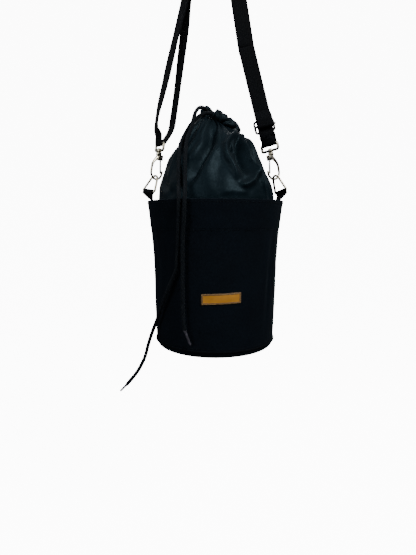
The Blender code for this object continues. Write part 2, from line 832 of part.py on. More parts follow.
def eye_bar(side):
    """Middle of the eye's upper bar, its direction, its upward direction and the one across both."""
    matrix = eye_matrix(side)
    axes = matrix.to_3x3()
    bar, across, up = axes.col[0], axes.col[1], axes.col[2]
    return matrix @ Vector((0, 0, EYE_SPREAD)), bar, across, up


def peg_arc():
    """Radius of the webbing's middle over the peg, and the height of the peg's axis."""
    return PEG_RADIUS + WEBBING_THICKNESS / 2, STRAP_DROP - PEG_RADIUS


def strap_point(side, out, up):
    """A spot beside the opening of the strap: shares of the way out to the eye, and up to the peg."""
    bar = eye_bar(side)[0]
    reach, peg_height = peg_arc()
    across = reach + (abs(bar.x) - reach) * out
    return Vector((side["sign"] * across, 0, bar.z + (peg_height - bar.z) * up))


def strap_controls(label, shares):
    return [(strap_point(SIDES[label], out, up), level(yaw)) for out, up, yaw in shares]


def leg_ends():
    """Lower and upper end of the straight right leg."""
    low = eye_bar(SIDES["right"])[0] + Vector((-LEG_INSET, 0, LEG_RISE))
    return low, strap_point(SIDES["right"], *LEG_TOP)


def leg_frame():
    """Upward, outward and width directions of the straight right leg."""
    low, high = leg_ends()
    up = (high - low).normalized()
    width = squared(level(LEG_YAW), up)
    return up, up.cross(width), width


def shoulder_controls():
    """The doubled stretch of strap, from the right leg over the peg to the left leg."""
    reach, peg_height = peg_arc()
    controls = [(leg_ends()[1], level(LEG_YAW))]
    controls += strap_controls("right", SHOULDER_RIGHT)
    for i in range(7):
        spot = vector_xz(math.pi * i / 6) * reach + Vector((0, 0, peg_height))
        controls.append((spot, level(-90)))
    return controls + strap_controls("left", SHOULDER_LEFT)


def offset_frames(frames, distance):
    """The same run moved outwards, square to its face."""
    tangents = directions([point for point, _ in frames])
    moved = []
    for (point, width), tangent in zip(frames, tangents):
        moved.append((point + tangent.cross(width) * distance, width))
    return moved


def build_strap(parent):
    """One webbing: sewn to the right eye, over the peg, round the left eye and back to the slider."""
    layer = WEBBING_THICKNESS + LAYER_GAP
    up, outward, width = leg_frame()
    left_bar, left_dir, left_across, left_up = eye_bar(SIDES["left"])
    right_bar, right_dir, right_across, right_up = eye_bar(SIDES["right"])
    shoulder = shoulder_controls()
    if left_across.x < 0:
        left_across = -left_across
    if right_across.y > 0:
        right_across = -right_across
    wrap = -right_dir

    main = [
        (right_bar + right_up * SEWN_TAIL - right_across * 0.0011, wrap),
        (right_bar + right_up * SEWN_TAIL / 2 - right_across * 0.0020, wrap),
    ]
    main += round_bar(right_bar, right_across, right_up, wrap, 180, 360)
    main += [(right_bar + right_up * 0.0045 + right_across * 0.0018, wrap)]
    leg_low, leg_high = leg_ends()
    leg_length = (leg_high - leg_low).length
    rises = [0.0, 0.004] + [leg_length * share for share in (0.28, 0.62, 0.93)]
    main += [(leg_low + up * rise, width) for rise in rises]
    shared_from = len(square_frames(main, STEP)) + 2
    main += shoulder
    shared_to = len(square_frames(main, STEP)) - 2
    main += strap_controls("left", INNER_LEFT)
    main += round_bar(left_bar, left_across, left_up, left_dir, -30, -168)
    end_of_main = left_bar - left_across * 0.0030 + left_up * 0.0050
    main += [(end_of_main, left_dir)]
    main_frames = square_frames(main, STEP)
    add_ribbon("strap_main_run", main_frames, parent)

    outer = offset_frames(main_frames, layer)[shared_from:shared_to]
    outer.reverse()
    seam = (main_frames[-1][0] - main_frames[-2][0]).normalized()
    back = [(end_of_main + seam * along, left_dir) for along in (2 * GAP, 0.0045)]
    back += strap_controls("left", OUTER_LEFT)
    back = square_frames(back + outer[:2], STEP)[:-1] + outer[2:-1]
    end = outer[-1:]
    bar = slider_matrix() @ Vector((0, slider_offsets()[1], 0))
    reach = WIRE + GAP + WEBBING_THICKNESS / 2
    end += [(bar + up * 0.018 + outward * (reach - 0.0014), width)]
    end += [(bar + up * 0.010 + outward * (reach - 0.0004), width)]
    end += [(bar + up * 0.004 + outward * reach, width)]
    end += round_bar(bar, outward, up, width, 0, -180)
    end += [
        (bar + up * 0.005 - outward * reach, width),
        (bar + up * 0.012 - outward * (reach - 0.0006), width),
    ]
    add_ribbon("strap_return_run", back + square_frames(end, STEP), parent)


def slider_matrix():
    """The slider's placing: X across the webbing, Y outwards from it, Z up the leg."""
    up, outward, width = leg_frame()
    centre = leg_ends()[0] + up * SLIDER_RISE
    return Matrix.Translation(centre) @ Matrix((-width, outward, up)).transposed().to_4x4()


def slider_offsets():
    """How far the slider's outer bars lie behind the webbing and its middle bar in front."""
    half = WEBBING_THICKNESS / 2
    behind = -(half + GAP + WIRE)
    before = half + GAP + WEBBING_THICKNESS + GAP + WIRE
    return behind, before


def build_slider(parent):
    """A three-bar slider whose middle bar stands in front of the webbing it slides on."""
    behind, before = slider_offsets()
    half_width = WEBBING_WIDTH / 2 + WIRE + 0.0009
    carrier = empty("slider_frame", parent, slider_matrix())
    outline = rounded_rectangle(half_width, SLIDER_DEPTH / 2, 0.003)
    loop = [point + Vector((0, behind, 0)) for point in outline]
    slider = add_object("slider", tube_mesh("slider", loop, WIRE, 8, True), "dark_steel", carrier)
    straight = WEBBING_WIDTH / 2 + 0.0004
    bar = [
        Vector((-half_width, behind, 0)),
        Vector((-half_width, before - 0.0018, 0)),
        Vector((-straight, before, 0)),
        Vector((0, before, 0)),
        Vector((straight, before, 0)),
        Vector((half_width, before - 0.0018, 0)),
        Vector((half_width, behind, 0)),
    ]
    combine(slider, tube_mesh("middle_bar", bar, WIRE, 8), "UNION")


def build_tab(label, side, parent):
    """A short webbing sewn inside the rim, up round the ring's bar and back down."""
    sign = side["sign"]
    axes = ring_matrix(side).to_3x3()
    bar, up = axes.col[0], axes.col[2]
    across = bar.cross(up) if sign * bar.cross(up).x > 0 else -bar.cross(up)
    middle = ring_bar(side)
    spread = (WEBBING_THICKNESS + LAYER_GAP) / 2
    inset = WALL + GAP + FACING_WALL + TAB_CLEARANCE + WEBBING_THICKNESS + LAYER_GAP / 2
    turned = Matrix.Rotation(sign * side["bar_y"] * TAB_SHARE / BODY_RADIUS, 3, "Z")
    straight = turned @ Vector((0, -1, 0))

    def leg(height, turn):
        reach = body_radius(height) - inset + turn * spread
        return turned @ Vector((sign * reach, 0, 0)) + Vector((0, 0, height)), straight

    low = BODY_HEIGHT - FACING_DEPTH + 0.003
    heights = (low, low + 0.016, BODY_HEIGHT + 0.0004)
    outer_leg = [leg(height, 1) for height in heights]
    inner_leg = [leg(height, -1) for height in reversed(heights)]
    neck = [(middle + across * turn * TAB_NECK - up * 0.0034, bar) for turn in (1, -1)]
    over_bar = round_bar(middle, across, up, bar, 0, 180)
    frames = smooth_frames(outer_leg, 0.005)[:-1]
    frames += smooth_frames([outer_leg[-1], neck[0]], 0.0008)
    frames += over_bar
    frames += smooth_frames([neck[1], inner_leg[0]], 0.0008)
    frames += smooth_frames(inner_leg, 0.005)[1:]
    add_ribbon("tab_" + label, frames, parent, TAB_WIDTH, 4)


def main():
    clear_scene()
    MATERIALS.update(make_materials())
    bag_frame = empty("bag_frame", matrix=Matrix.Translation((0, 0, -STRAP_DROP)))
    contact = BODY_HEIGHT + HOOK_RISE + WIRE + RING_PLAY / 2
    swing = empty("bag_swing_frame", bag_frame, Matrix.Translation((0, 0, contact)))
    bag = empty("bag_parts", swing, Matrix.Translation((0, 0, -contact)))
    build_body(bag)
    build_skirt(bag)
    build_casing(bag)
    build_drawcord_tails(bag)
    build_patch(bag)
    for label, side in SIDES.items():
        build_tab(label, side, bag)
        build_ring(label, side, bag)
        build_eye(label, side, bag_frame)
        build_hook(label, side, bag_frame)
    build_strap(bag_frame)
    build_slider(bag_frame)


MATERIALS = {}
main()
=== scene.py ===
"""The looks of a drawstring bucket bag that hangs from its shoulder strap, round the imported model.

Metres, in the model's frame: the strap hangs from the world origin, -Y is the front, and heights
named h or height are counted from the underside of the bag's base.
"""

import json
import math
import random

import bmesh
import bpy
import numpy as np
from mathutils import Matrix, Vector, noise


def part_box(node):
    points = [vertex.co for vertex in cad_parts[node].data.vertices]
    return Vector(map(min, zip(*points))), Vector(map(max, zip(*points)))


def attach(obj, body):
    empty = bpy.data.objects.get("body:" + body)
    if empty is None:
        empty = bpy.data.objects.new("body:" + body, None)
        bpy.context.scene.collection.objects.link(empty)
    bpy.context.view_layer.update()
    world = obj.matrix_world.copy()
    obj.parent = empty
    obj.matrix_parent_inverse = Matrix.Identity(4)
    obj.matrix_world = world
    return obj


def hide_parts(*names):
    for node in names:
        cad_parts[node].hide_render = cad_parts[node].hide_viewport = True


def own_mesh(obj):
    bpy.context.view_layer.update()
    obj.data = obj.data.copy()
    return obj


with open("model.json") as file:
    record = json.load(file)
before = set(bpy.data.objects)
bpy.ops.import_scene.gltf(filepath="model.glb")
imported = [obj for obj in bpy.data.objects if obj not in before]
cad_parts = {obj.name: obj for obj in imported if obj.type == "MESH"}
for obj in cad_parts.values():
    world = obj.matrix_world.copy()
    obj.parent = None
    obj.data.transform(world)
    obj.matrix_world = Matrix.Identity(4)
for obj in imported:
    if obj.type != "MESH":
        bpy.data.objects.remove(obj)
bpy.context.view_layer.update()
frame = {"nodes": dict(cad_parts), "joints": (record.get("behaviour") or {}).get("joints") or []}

BASE_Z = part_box("base_panel")[0].z
JOINTS = {joint["name"]: joint for joint in frame["joints"]}
SEED = 7

# Sizes that the CAD model gives these pieces.
GAP = 0.0003
BODY_RADIUS = 0.079
BODY_HEIGHT = 0.185
RIM_FLARE = 0.007
RIM_THICKNESS = 0.0033
FACING_DEPTH = 0.036
BASE_CORNER = 0.0075
BINDING_HEIGHT = 0.0088
SKIRT_HEIGHT = 0.1025
CASING_RADIUS = 0.012
CASING_OUTER = 0.006
CASING_TILT = math.radians(30)
CASING_FROM = math.radians(-98)
CASING_TO = math.radians(195)
CORD_RADIUS = 0.0023
PATCH_SIZE = (0.0468, 0.0128)
PATCH_CENTRE = (0.0063, 0.0723)
PATCH_SLOPE = math.tan(math.radians(2))
WEBBING_WIDTH = 0.020
WEBBING_THICKNESS = 0.0014
TAB_WIDTH = 0.0165
TAB_INSET = 0.0061
TAB_NECK = 0.0021
TAB_SHARE = 0.6
LAYER_GAP = 0.0006
PEG_RADIUS = 0.014
BINDING_RADIUS = 0.0013
LINING_RADIUS = 0.0685
SEWN_TAIL = 0.013
WIRE = 0.0014
HOOK_LENGTH = 0.0356
EYE_SPREAD = 0.0082
EYE_WIDTH = WEBBING_WIDTH + 2 * WIRE + 0.0012
BOW_RADIUS = 0.0088
HEAD_TOP = -WIRE - 2 * GAP
HEAD_LENGTH = 0.0049
GATE_OFFSET = 0.003
GATE_EYE_RADIUS = 0.0019
GATE_PIN_RADIUS = 0.0009
RING_PLAY = 0.0013
RING_HEIGHT = 0.022
RING_WIDTH = TAB_WIDTH + 0.0062
RING_TOP_RADIUS = 0.0065
RING_CORNER = 0.0022
SLIDER_RISE = 0.0108
SLIDER_DEPTH = 0.0144
SLIDER_TRAVEL = 0.076
LEG_RISE = 0.0118
LEG_INSET = 0.0032
LEG_TOP = (0.424, 0.4)
LEG_YAW = 186
SIDES = {
    "left": {"sign": -1, "eye_yaw": -60, "bar_y": -0.005},
    "right": {"sign": 1, "eye_yaw": -42, "bar_y": 0.0},
}
SHOULDER_RIGHT = ((0.242, 0.590, -166), (0.092, 0.744, -148), (0.020, 0.890, -118))
SHOULDER_LEFT = ((0.046, 0.884, -80), (0.159, 0.744, -64), (0.361, 0.590, -52))
INNER_LEFT = (
    (0.421, 0.471, -54),
    (0.505, 0.351, -58),
    (0.588, 0.236, -62),
    (0.683, 0.120, -62),
    (0.760, 0.053, -61),
)
# This run is turned a little further towards the front than the CAD model turns it.
OUTER_LEFT = (
    (1.086, 0.064, -70),
    (1.059, 0.113, -72),
    (0.980, 0.176, -64),
    (0.870, 0.253, -60),
    (0.756, 0.341, -58),
    (0.588, 0.464, -60),
)
TAIL_LONG = [
    (-0.0030, -0.0118, 0.2892),
    (-0.0085, -0.0140, 0.2900),
    (-0.0160, -0.0175, 0.2880),
    (-0.0232, -0.0205, 0.2824),
    (-0.0300, -0.0220, 0.2748),
    (-0.0355, -0.0240, 0.2656),
    (-0.0396, -0.0315, 0.2560),
    (-0.0422, -0.0395, 0.2457),
    (-0.0427, -0.0495, 0.2299),
    (-0.0427, -0.0570, 0.2141),
    (-0.0421, -0.0640, 0.2000),
    (-0.0412, -0.0790, 0.1880),
    (-0.0414, -0.0800, 0.1760),
    (-0.0418, -0.0775, 0.1600),
    (-0.0430, -0.0745, 0.1400),
    (-0.0440, -0.0715, 0.1200),
    (-0.0455, -0.0700, 0.1050),
    (-0.0520, -0.0655, 0.0900),
    (-0.0595, -0.0590, 0.0720),
    (-0.0660, -0.0515, 0.0550),
    (-0.0725, -0.0420, 0.0380),
    (-0.0790, -0.0320, 0.0220),
    (-0.0850, -0.0270, 0.0050),
    (-0.0905, -0.0260, -0.0140),
    (-0.1000, -0.0270, -0.0320),
    (-0.1130, -0.0290, -0.0480),
]
TAIL_SHORT = [
    (-0.0100, -0.0048, 0.2936),
    (-0.0120, -0.0090, 0.2956),
    (-0.0166, -0.0150, 0.2966),
    (-0.0212, -0.0210, 0.2934),
    (-0.0248, -0.0260, 0.2862),
    (-0.0272, -0.0295, 0.2766),
    (-0.0304, -0.0330, 0.2652),
    (-0.0338, -0.0390, 0.2548),
    (-0.0350, -0.0492, 0.2395),
    (-0.0350, -0.0582, 0.2232),
    (-0.0350, -0.0645, 0.2075),
    (-0.0345, -0.0745, 0.1950),
    (-0.0347, -0.0828, 0.1860),
    (-0.0350, -0.0838, 0.1760),
    (-0.0358, -0.0815, 0.1620),
    (-0.0370, -0.0785, 0.1450),
    (-0.0378, -0.0762, 0.1200),
    (-0.0380, -0.0755, 0.0850),
    (-0.0378, -0.0752, 0.0550),
    (-0.0360, -0.0755, 0.0350),
]
TIPS = {
    "long": (TAIL_LONG, Vector((-0.0085, -0.0012, -0.0085)), 0.012),
    "short": (TAIL_SHORT, Vector((0.0045, -0.0002, -0.0120)), 0.018),
}
TIP_GAP = 0.0009
TIP_RADIUS = 0.0015

# Sizes of what only the looks have.
MOUTH_REACH_RIGHT = 0.0275
PLATED_WIRE = WIRE + 0.0002
WALL_COLUMNS = 300
LINING_INSET = 0.0022
LINING_FOOT = 0.0118
LINING_FLOOR = 0.0048
HEM_STITCH_RISE = 0.0012
RIM_STITCH_DROP = 0.0035
BASE_STITCH_RISE = 0.0032
PATCH_BORDER = 0.0021
PATCH_STITCH_LIFT = 0.0009
CHEEK_INNER = 0.0016
CHEEK_THICKNESS = 0.0012
PIN_HEAD_RADIUS = 0.00185
PIN_HEAD_HEIGHT = 0.0007
GATE_SIDES = (-0.0013, 0.0005)
COIL_RADIUS = 0.0016

# The camera, the stage and its light.
CAMERA_ACROSS = -0.0091
CAMERA_FRONT = -0.559
CAMERA_HEIGHT = 0.163
CAMERA_DIP = 7.8
CAMERA_LENS = 27.9
STAGE_GLOW = 11.0
ROOM_LIGHT = 0.6
STAGE_FLOOR = -0.95
STAGE_RADIUS = 6.0
STAGE_CURVE = 2.0
STAGE_TOP = 9.0


def at(x, y, height):
    """A point given by its height above the base."""
    return Vector((x, y, BASE_Z + height))


# Camera


def add_camera():
    camera = bpy.data.objects.new("camera", bpy.data.cameras.new("camera"))
    bpy.context.scene.collection.objects.link(camera)
    camera.location = at(CAMERA_ACROSS, CAMERA_FRONT, CAMERA_HEIGHT)
    camera.rotation_euler = (math.radians(90 - CAMERA_DIP), 0, 0)
    camera.data.lens = CAMERA_LENS
    camera.data.clip_start = 0.01
    bpy.context.scene.camera = camera


# Curves and meshes


def smooth(controls, step):
    """Vectors on a smooth curve through others, at about equal steps of their first three numbers."""
    controls = [Vector(point) for point in controls]
    ends = [2 * controls[0] - controls[1]] + controls + [2 * controls[-1] - controls[-2]]
    curve = []
    for before, start, end, after in zip(ends, ends[1:], ends[2:], ends[3:]):
        span = (Vector(end[:3]) - Vector(start[:3])).length
        pieces = max(1, round(span / step))
        for i in range(pieces):
            t = i / pieces
            curve.append(
                0.5
                * (
                    2 * start
                    + (end - before) * t
                    + (2 * before - 5 * start + 4 * end - after) * t**2
                    + (3 * start - before - 3 * end + after) * t**3
                )
            )
    curve.append(controls[-1])
    return curve


def directions(points, closed=False):
    """The unit tangent at each point of a path."""
    count = len(points)
    found = []
    for i in range(count):
        before = points[i - 1] if closed else points[max(i - 1, 0)]
        after = points[(i + 1) % count] if closed else points[min(i + 1, count - 1)]
        found.append((after - before).normalized())
    return found


def add_object(name, mesh, material):
    obj = bpy.data.objects.new(name, mesh)
    bpy.context.scene.collection.objects.link(obj)
    mesh.materials.append(material)
    return obj


def add_grid(name, rows, material, wrap=False, close=False, measured_row=0):
    """A skin through rows of points, with UVs in metres: u along a row, v from row to row."""
    rows = np.array([[tuple(point) for point in row] for row in rows], float)
    count, width = rows.shape[:2]
    line = rows[measured_row]
    steps = np.linalg.norm(np.roll(line, -1, axis=0) - line, axis=1)
    u = np.concatenate([[0], np.cumsum(steps)])
    middle = rows[:, width // 2]
    rises = np.linalg.norm(np.roll(middle, -1, axis=0) - middle, axis=1)
    v = np.concatenate([[0], np.cumsum(rises)])
    faces, spots = [], []
    for i in range(count if close else count - 1):
        below, above = i * width, (i + 1) % count * width
        for j in range(width if wrap else width - 1):
            k = (j + 1) % width
            faces.append((below + j, below + k, above + k, above + j))
            spots += [(u[j], v[i]), (u[j + 1], v[i]), (u[j + 1], v[i + 1]), (u[j], v[i + 1])]
    mesh = bpy.data.meshes.new(name)
    mesh.from_pydata(rows.reshape(-1, 3).tolist(), [], faces)
    layer = mesh.uv_layers.new(name="metres")
    layer.data.foreach_set("uv", np.array(spots, np.float32).ravel())
    mesh.shade_smooth()
    return add_object(name, mesh, material)


def tube_rows(points, radii, sides, closed=False):
    """Round sections along a path, carried along it without twisting."""
    tangents = directions(points, closed)
    side = tangents[0].orthogonal().normalized()
    rows = []
    for point, tangent, radius in zip(points, tangents, radii):
        side = (side - tangent * side.dot(tangent)).normalized()
        other = tangent.cross(side)
        rows.append(
            [
                point + radius * (math.cos(angle) * side + math.sin(angle) * other)
                for angle in (2 * math.pi * i / sides for i in range(sides))
            ]
        )
    return rows


def add_tube(name, points, radius, material, sides=16, closed=False, dome=True):
    """A round wire or cord along a path, its ends rounded."""
    points = list(points)
    if closed:
        rows = tube_rows(points, [radius] * len(points), sides, True)
        shift = min(range(sides), key=lambda i: (rows[-1][i] - rows[0][0]).length)
        turned = []
        for i, row in enumerate(rows):
            # The carried sections turn a little over a whole loop, so each takes its share back.
            turn = round(shift * i / len(rows))
            turned.append(row[turn:] + row[:turn])
        return add_grid(name, turned, material, wrap=True, close=True)
    radii = [radius] * len(points)
    if dome:
        lead, trail = (points[0] - points[1]).normalized(), (points[-1] - points[-2]).normalized()
        caps = [(0.55, 0.84), (0.85, 0.55), (0.99, 0.12)]
        front = [(points[0] + lead * radius * a, radius * b) for a, b in reversed(caps)]
        back = [(points[-1] + trail * radius * a, radius * b) for a, b in caps]
        points = [p for p, _ in front] + points + [p for p, _ in back]
        radii = [r for _, r in front] + radii + [r for _, r in back]
    return add_grid(name, tube_rows(points, radii, sides), material, wrap=True)


def turned_rows(origin, axis, profile, sides=28):
    """Sections of a shape turned about an axis, from (radius, distance along the axis) pairs."""
    axis = axis.normalized()
    side = axis.orthogonal().normalized()
    other = axis.cross(side)
    rows = []
    for radius, along in profile:
        rows.append(
            [
                origin + axis * along + radius * (math.cos(a) * side + math.sin(a) * other)
                for a in (2 * math.pi * i / sides for i in range(sides))
            ]
        )
    return rows


def rounded_disc(radius, low, high, edge):
    """The profile of a disc or short shaft with rounded edges."""
    return [
        (0.0001, low),
        (radius - edge, low),
        (radius - edge * 0.3, low + edge * 0.3),
        (radius, low + edge),
        (radius, high - edge),
        (radius - edge * 0.3, high - edge * 0.3),
        (radius - edge, high),
        (0.0001, high),
    ]


def add_turned(name, origin, axis, profile, material, sides=28):
    return add_grid(name, turned_rows(origin, axis, profile, sides), material, wrap=True)


def belongs(obj, body, slot, *nodes):
    """Says which body a piece rides and the CAD nodes that it stands for, which it hides; the record slot is
    not used.
    """
    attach(obj, body)
    if nodes:
        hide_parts(*nodes)


def join(name, *pieces):
    """Several pieces as one, under a new name."""
    with bpy.context.temp_override(
        active_object=pieces[0], selected_editable_objects=list(pieces), selected_objects=list(pieces)
    ):
        bpy.ops.object.join()
    pieces[0].name = name
    return pieces[0]


def rounded_block(name, low, high, placing, material, bevel=0.0003):
    """A block with bevelled edges, given in a local space."""
    shape = bmesh.new()
    bmesh.ops.create_cube(shape, size=1)
    low, high = Vector(low), Vector(high)
    size = high - low
    for corner in shape.verts:
        corner.co = Vector([c * s + m for c, s, m in zip(corner.co, size, (low + high) / 2)])
    bmesh.ops.bevel(
        shape, geom=shape.edges[:], offset=bevel, segments=3, profile=0.6, affect="EDGES"
    )
    shape.transform(placing)
    mesh = bpy.data.meshes.new(name)
    shape.to_mesh(mesh)
    shape.free()
    mesh.uv_layers.new(name="metres")
    mesh.shade_smooth()
    return add_object(name, mesh, material)


# Materials


class Look:
    """One material under construction: its nodes, linked from left to right."""

    def __init__(self, name, roughness=0.8, metallic=0.0, specular=0.5):
        self.material = bpy.data.materials.new(name)
        self.material.use_nodes = True
        self.tree = self.material.node_tree
        self.shader = self.tree.nodes["Principled BSDF"]
        self.shader.inputs["Roughness"].default_value = roughness
        self.shader.inputs["Metallic"].default_value = metallic
        self.shader.inputs["Specular IOR Level"].default_value = specular
        self.place = self.tree.nodes.new("ShaderNodeTexCoord")

    def add(self, kind, **values):
        node = self.tree.nodes.new(kind)
        for name, value in values.items():
            if hasattr(value, "is_linked"):
                self.tree.links.new(value, node.inputs[name.replace("_", " ")])
            elif name in node.inputs:
                node.inputs[name].default_value = value
            else:
                setattr(node, name, value)
        return node

    def spread(self, source, turn=0.0):
        """Coordinates from "UV" or "Object", turned about Z."""
        mapping = self.add("ShaderNodeMapping", Vector=self.place.outputs[source])
        mapping.inputs["Rotation"].default_value = (0, 0, turn)
        return mapping.outputs["Vector"]

    def noise(self, size, detail=3.0, source="Object"):
        """Smooth noise whose features are about size metres across."""
        made = self.add("ShaderNodeTexNoise", Vector=self.spread(source), Detail=detail, Scale=1 / size)
        return made.outputs["Fac"]

    def ribs(self, pitch, direction, turn=0.0, distortion=0.0):
        """Even ribs, pitch metres apart, across u ("X") or v ("Y")."""
        made = self.add(
            "ShaderNodeTexWave",
            Vector=self.spread("UV", turn),
            bands_direction=direction,
            Scale=2 * math.pi / 20 / pitch,
            Distortion=distortion,
        )
        return made.outputs["Fac"]

    def maths(self, operation, first, second):
        node = self.add("ShaderNodeMath", operation=operation)
        for slot, value in enumerate((first, second)):
            if hasattr(value, "is_linked"):
                self.tree.links.new(value, node.inputs[slot])
            else:
                node.inputs[slot].default_value = value
        return node.outputs[0]

    def ramp(self, factor, stops):
        """A colour for each (position, (r, g, b)) stop of a factor."""
        node = self.add("ShaderNodeValToRGB", Fac=factor)
        elements = node.color_ramp.elements
        while len(elements) < len(stops):
            elements.new(0.5)
        for element, (position, colour) in zip(elements, stops):
            element.position = position
            element.color = (*colour, 1)
        return node.outputs["Color"]

    def mix(self, factor, first, second):
        node = self.add("ShaderNodeMix", data_type="RGBA")
        self.tree.links.new(factor, node.inputs["Factor"])
        for slot, value in ((6, first), (7, second)):
            if hasattr(value, "is_linked"):
                self.tree.links.new(value, node.inputs[slot])
            else:
                node.inputs[slot].default_value = (*value, 1)
        return node.outputs[2]

    def colour(self, socket):
        self.tree.links.new(socket, self.shader.inputs["Base Color"])

    def rough(self, factor, low, high):
        made = self.add("ShaderNodeMapRange", Value=factor)
        made.inputs["To Min"].default_value = low
        made.inputs["To Max"].default_value = high
        self.tree.links.new(made.outputs["Result"], self.shader.inputs["Roughness"])

    def bump(self, *heights):
        """Relief from (height socket, depth in metres) pairs, one after another."""
        normal = None
        for height, depth in heights:
            node = self.add("ShaderNodeBump", Height=height, Distance=depth)
            node.inputs["Strength"].default_value = 1.0
            if normal:
                self.tree.links.new(normal, node.inputs["Normal"])
            normal = node.outputs["Normal"]
        self.tree.links.new(normal, self.shader.inputs["Normal"])

    def sheen(self, weight, tint):
        self.shader.inputs["Sheen Weight"].default_value = weight
        self.shader.inputs["Sheen Roughness"].default_value = 0.4
        self.shader.inputs["Sheen Tint"].default_value = (*tint, 1)


def shades(colour, *factors):
    """Stops for a ramp: one colour made darker and lighter."""
    last = max(1, len(factors) - 1)
    return [(i / last * 0.5 + 0.25, tuple(c * f for c in colour)) for i, f in enumerate(factors)]


def canvas_look(name, colour, pitch=0.0008, sheen=0.02):
    """Dense plain-woven cotton, a little uneven and rubbed."""
    look = Look(name, roughness=0.9, specular=0.05)
    weave = look.maths("MAXIMUM", look.ribs(pitch, "X", 0, 0.6), look.ribs(pitch, "Y", 0, 0.6))
    cloudy = look.noise(0.035, 4)
    yarn = look.noise(0.0012, 2)
    base = look.ramp(cloudy, shades(colour, 0.75, 1.0, 1.35))
    thread = look.ramp(yarn, shades(colour, 0.5, 1.0, 2.0))
    look.colour(look.mix(look.maths("MULTIPLY", weave, 0.45), base, thread))
    look.rough(cloudy, 0.82, 0.97)
    look.bump((weave, 0.00012), (yarn, 0.00008), (look.noise(0.012, 3), 0.0005))
    look.sheen(sheen, (0.45, 0.6, 0.75))
    return look.material


def nylon_look(name, colour, roughness=(0.36, 0.52), sheen=0.02):
    """Tightly woven nylon: smooth, softly shining, crossed by fine creases."""
    look = Look(name, specular=0.08)
    look.shader.inputs["Specular Tint"].default_value = (0.55, 0.85, 1, 1)
    weave = look.maths("MAXIMUM", look.ribs(0.0005, "X"), look.ribs(0.0005, "Y"))
    creases = look.noise(0.009, 5)
    soft = look.noise(0.028, 3)
    look.colour(look.ramp(soft, shades(colour, 0.8, 1.0, 1.25)))
    look.rough(creases, *roughness)
    look.bump((weave, 0.00003), (creases, 0.0006), (soft, 0.0012))
    look.sheen(sheen, (0.5, 0.65, 0.75))
    return look.material


def webbing_look(name, colour):
    """Black webbing: lengthwise ribs crossed by a fine weave."""
    look = Look(name, roughness=0.75, specular=0.06)
    along = look.ribs(0.0016, "X")
    across = look.ribs(0.0009, "Y", 0, 0.4)
    weave = look.maths("MAXIMUM", look.maths("MULTIPLY", along, 0.8), across)
    flecks = look.noise(0.0016, 3)
    worn = look.noise(0.02, 4)
    dark = look.ramp(worn, shades(colour, 0.8, 1.0, 1.4))
    light = look.ramp(flecks, shades(colour, 0.6, 1.5, 3.2))
    look.colour(look.mix(look.maths("MULTIPLY", weave, 0.5), dark, light))
    look.rough(flecks, 0.6, 0.9)
    look.bump((along, 0.0002), (across, 0.00016), (flecks, 0.00006))
    look.sheen(0.02, (0.7, 0.7, 0.75))
    return look.material


def cord_look():
    """Round braid: strands crossing at a slant both ways, with painted shade in the grooves between them."""
    look = Look("braided_cord", roughness=0.7, specular=0.07)
    pitch = 0.0011
    one = look.ribs(pitch, "X", math.radians(38))
    other = look.ribs(pitch, "X", math.radians(-38))
    braid = look.maths("MAXIMUM", one, other)
    flecks = look.noise(0.0011, 2)
    colour = (0.0022, 0.0036, 0.0054)
    # Painted shade: the grooves between the strands get a third of the cord's colour.
    dark = tuple(c * 0.35 for c in colour)
    light = look.ramp(flecks, shades(colour, 0.7, 1.1, 1.9))
    look.colour(look.mix(braid, dark, light))
    look.rough(flecks, 0.55, 0.8)
    look.bump((braid, 0.00035), (flecks, 0.00005))
    look.sheen(0.02, (0.7, 0.75, 0.8))
    return look.material


def patch_look(name, colour, depth):
    """Smooth ochre patch material with a fine grain and rubbed edges."""
    look = Look(name, roughness=0.6, specular=0.35)
    grain = look.noise(0.0009, 4)
    worn = look.noise(0.009, 4)
    amount = look.maths("MULTIPLY", grain, 0.35)
    base = look.ramp(worn, shades(colour, 0.82, 1.0, 1.12))
    look.colour(look.mix(amount, base, tuple(c * 0.62 for c in colour)))
    look.rough(grain, 0.5, 0.75)
    look.bump((grain, depth), (worn, 0.0002))
    return look.material


def thread_look(name, colour, specular=0.08):
    """Twisted sewing thread."""
    look = Look(name, roughness=0.6, specular=specular)
    twist = look.noise(0.0006, 2)
    look.colour(look.ramp(twist, shades(colour, 0.7, 1.0, 1.4)))
    look.rough(twist, 0.5, 0.75)
    look.bump((twist, 0.00006))
    return look.material


def metal_look(name, colour, roughness, spots=0.25):
    """Plated wire: bright, with faint polishing marks and duller worn places."""
    look = Look(name, metallic=1.0)
    marks = look.noise(0.0016, 5)
    worn = look.noise(0.007, 4)
    look.colour(look.ramp(worn, [(0.3, tuple(c * (1 - spots) for c in colour)), (0.62, colour)]))
    look.rough(marks, roughness * 0.7, roughness * 1.5)
    look.bump((marks, 0.00003), (worn, 0.00008))
    return look.material


def coated_look(name, colour, roughness=0.45):
    """Black-coated or moulded surface with a fine texture and lighter rubbed places."""
    look = Look(name, roughness=roughness, specular=0.5)
    marks = look.noise(0.0008, 4)
    worn = look.noise(0.006, 4)
    look.colour(look.ramp(worn, [(0.35, colour), (0.75, tuple(c * 2.2 + 0.004 for c in colour))]))
    look.rough(marks, roughness * 0.8, roughness * 1.3)
    look.bump((marks, 0.00004))
    return look.material


def stage_look():
    look = Look("pale_stage", roughness=0.95, specular=0.0)
    look.colour(look.ramp(look.noise(0.6, 1), [(0.3, (0.9, 0.9, 0.9)), (0.7, (0.92, 0.92, 0.92))]))
    look.shader.inputs["Emission Color"].default_value = (1, 1, 1, 1)
    look.shader.inputs["Emission Strength"].default_value = STAGE_GLOW
    return look.material


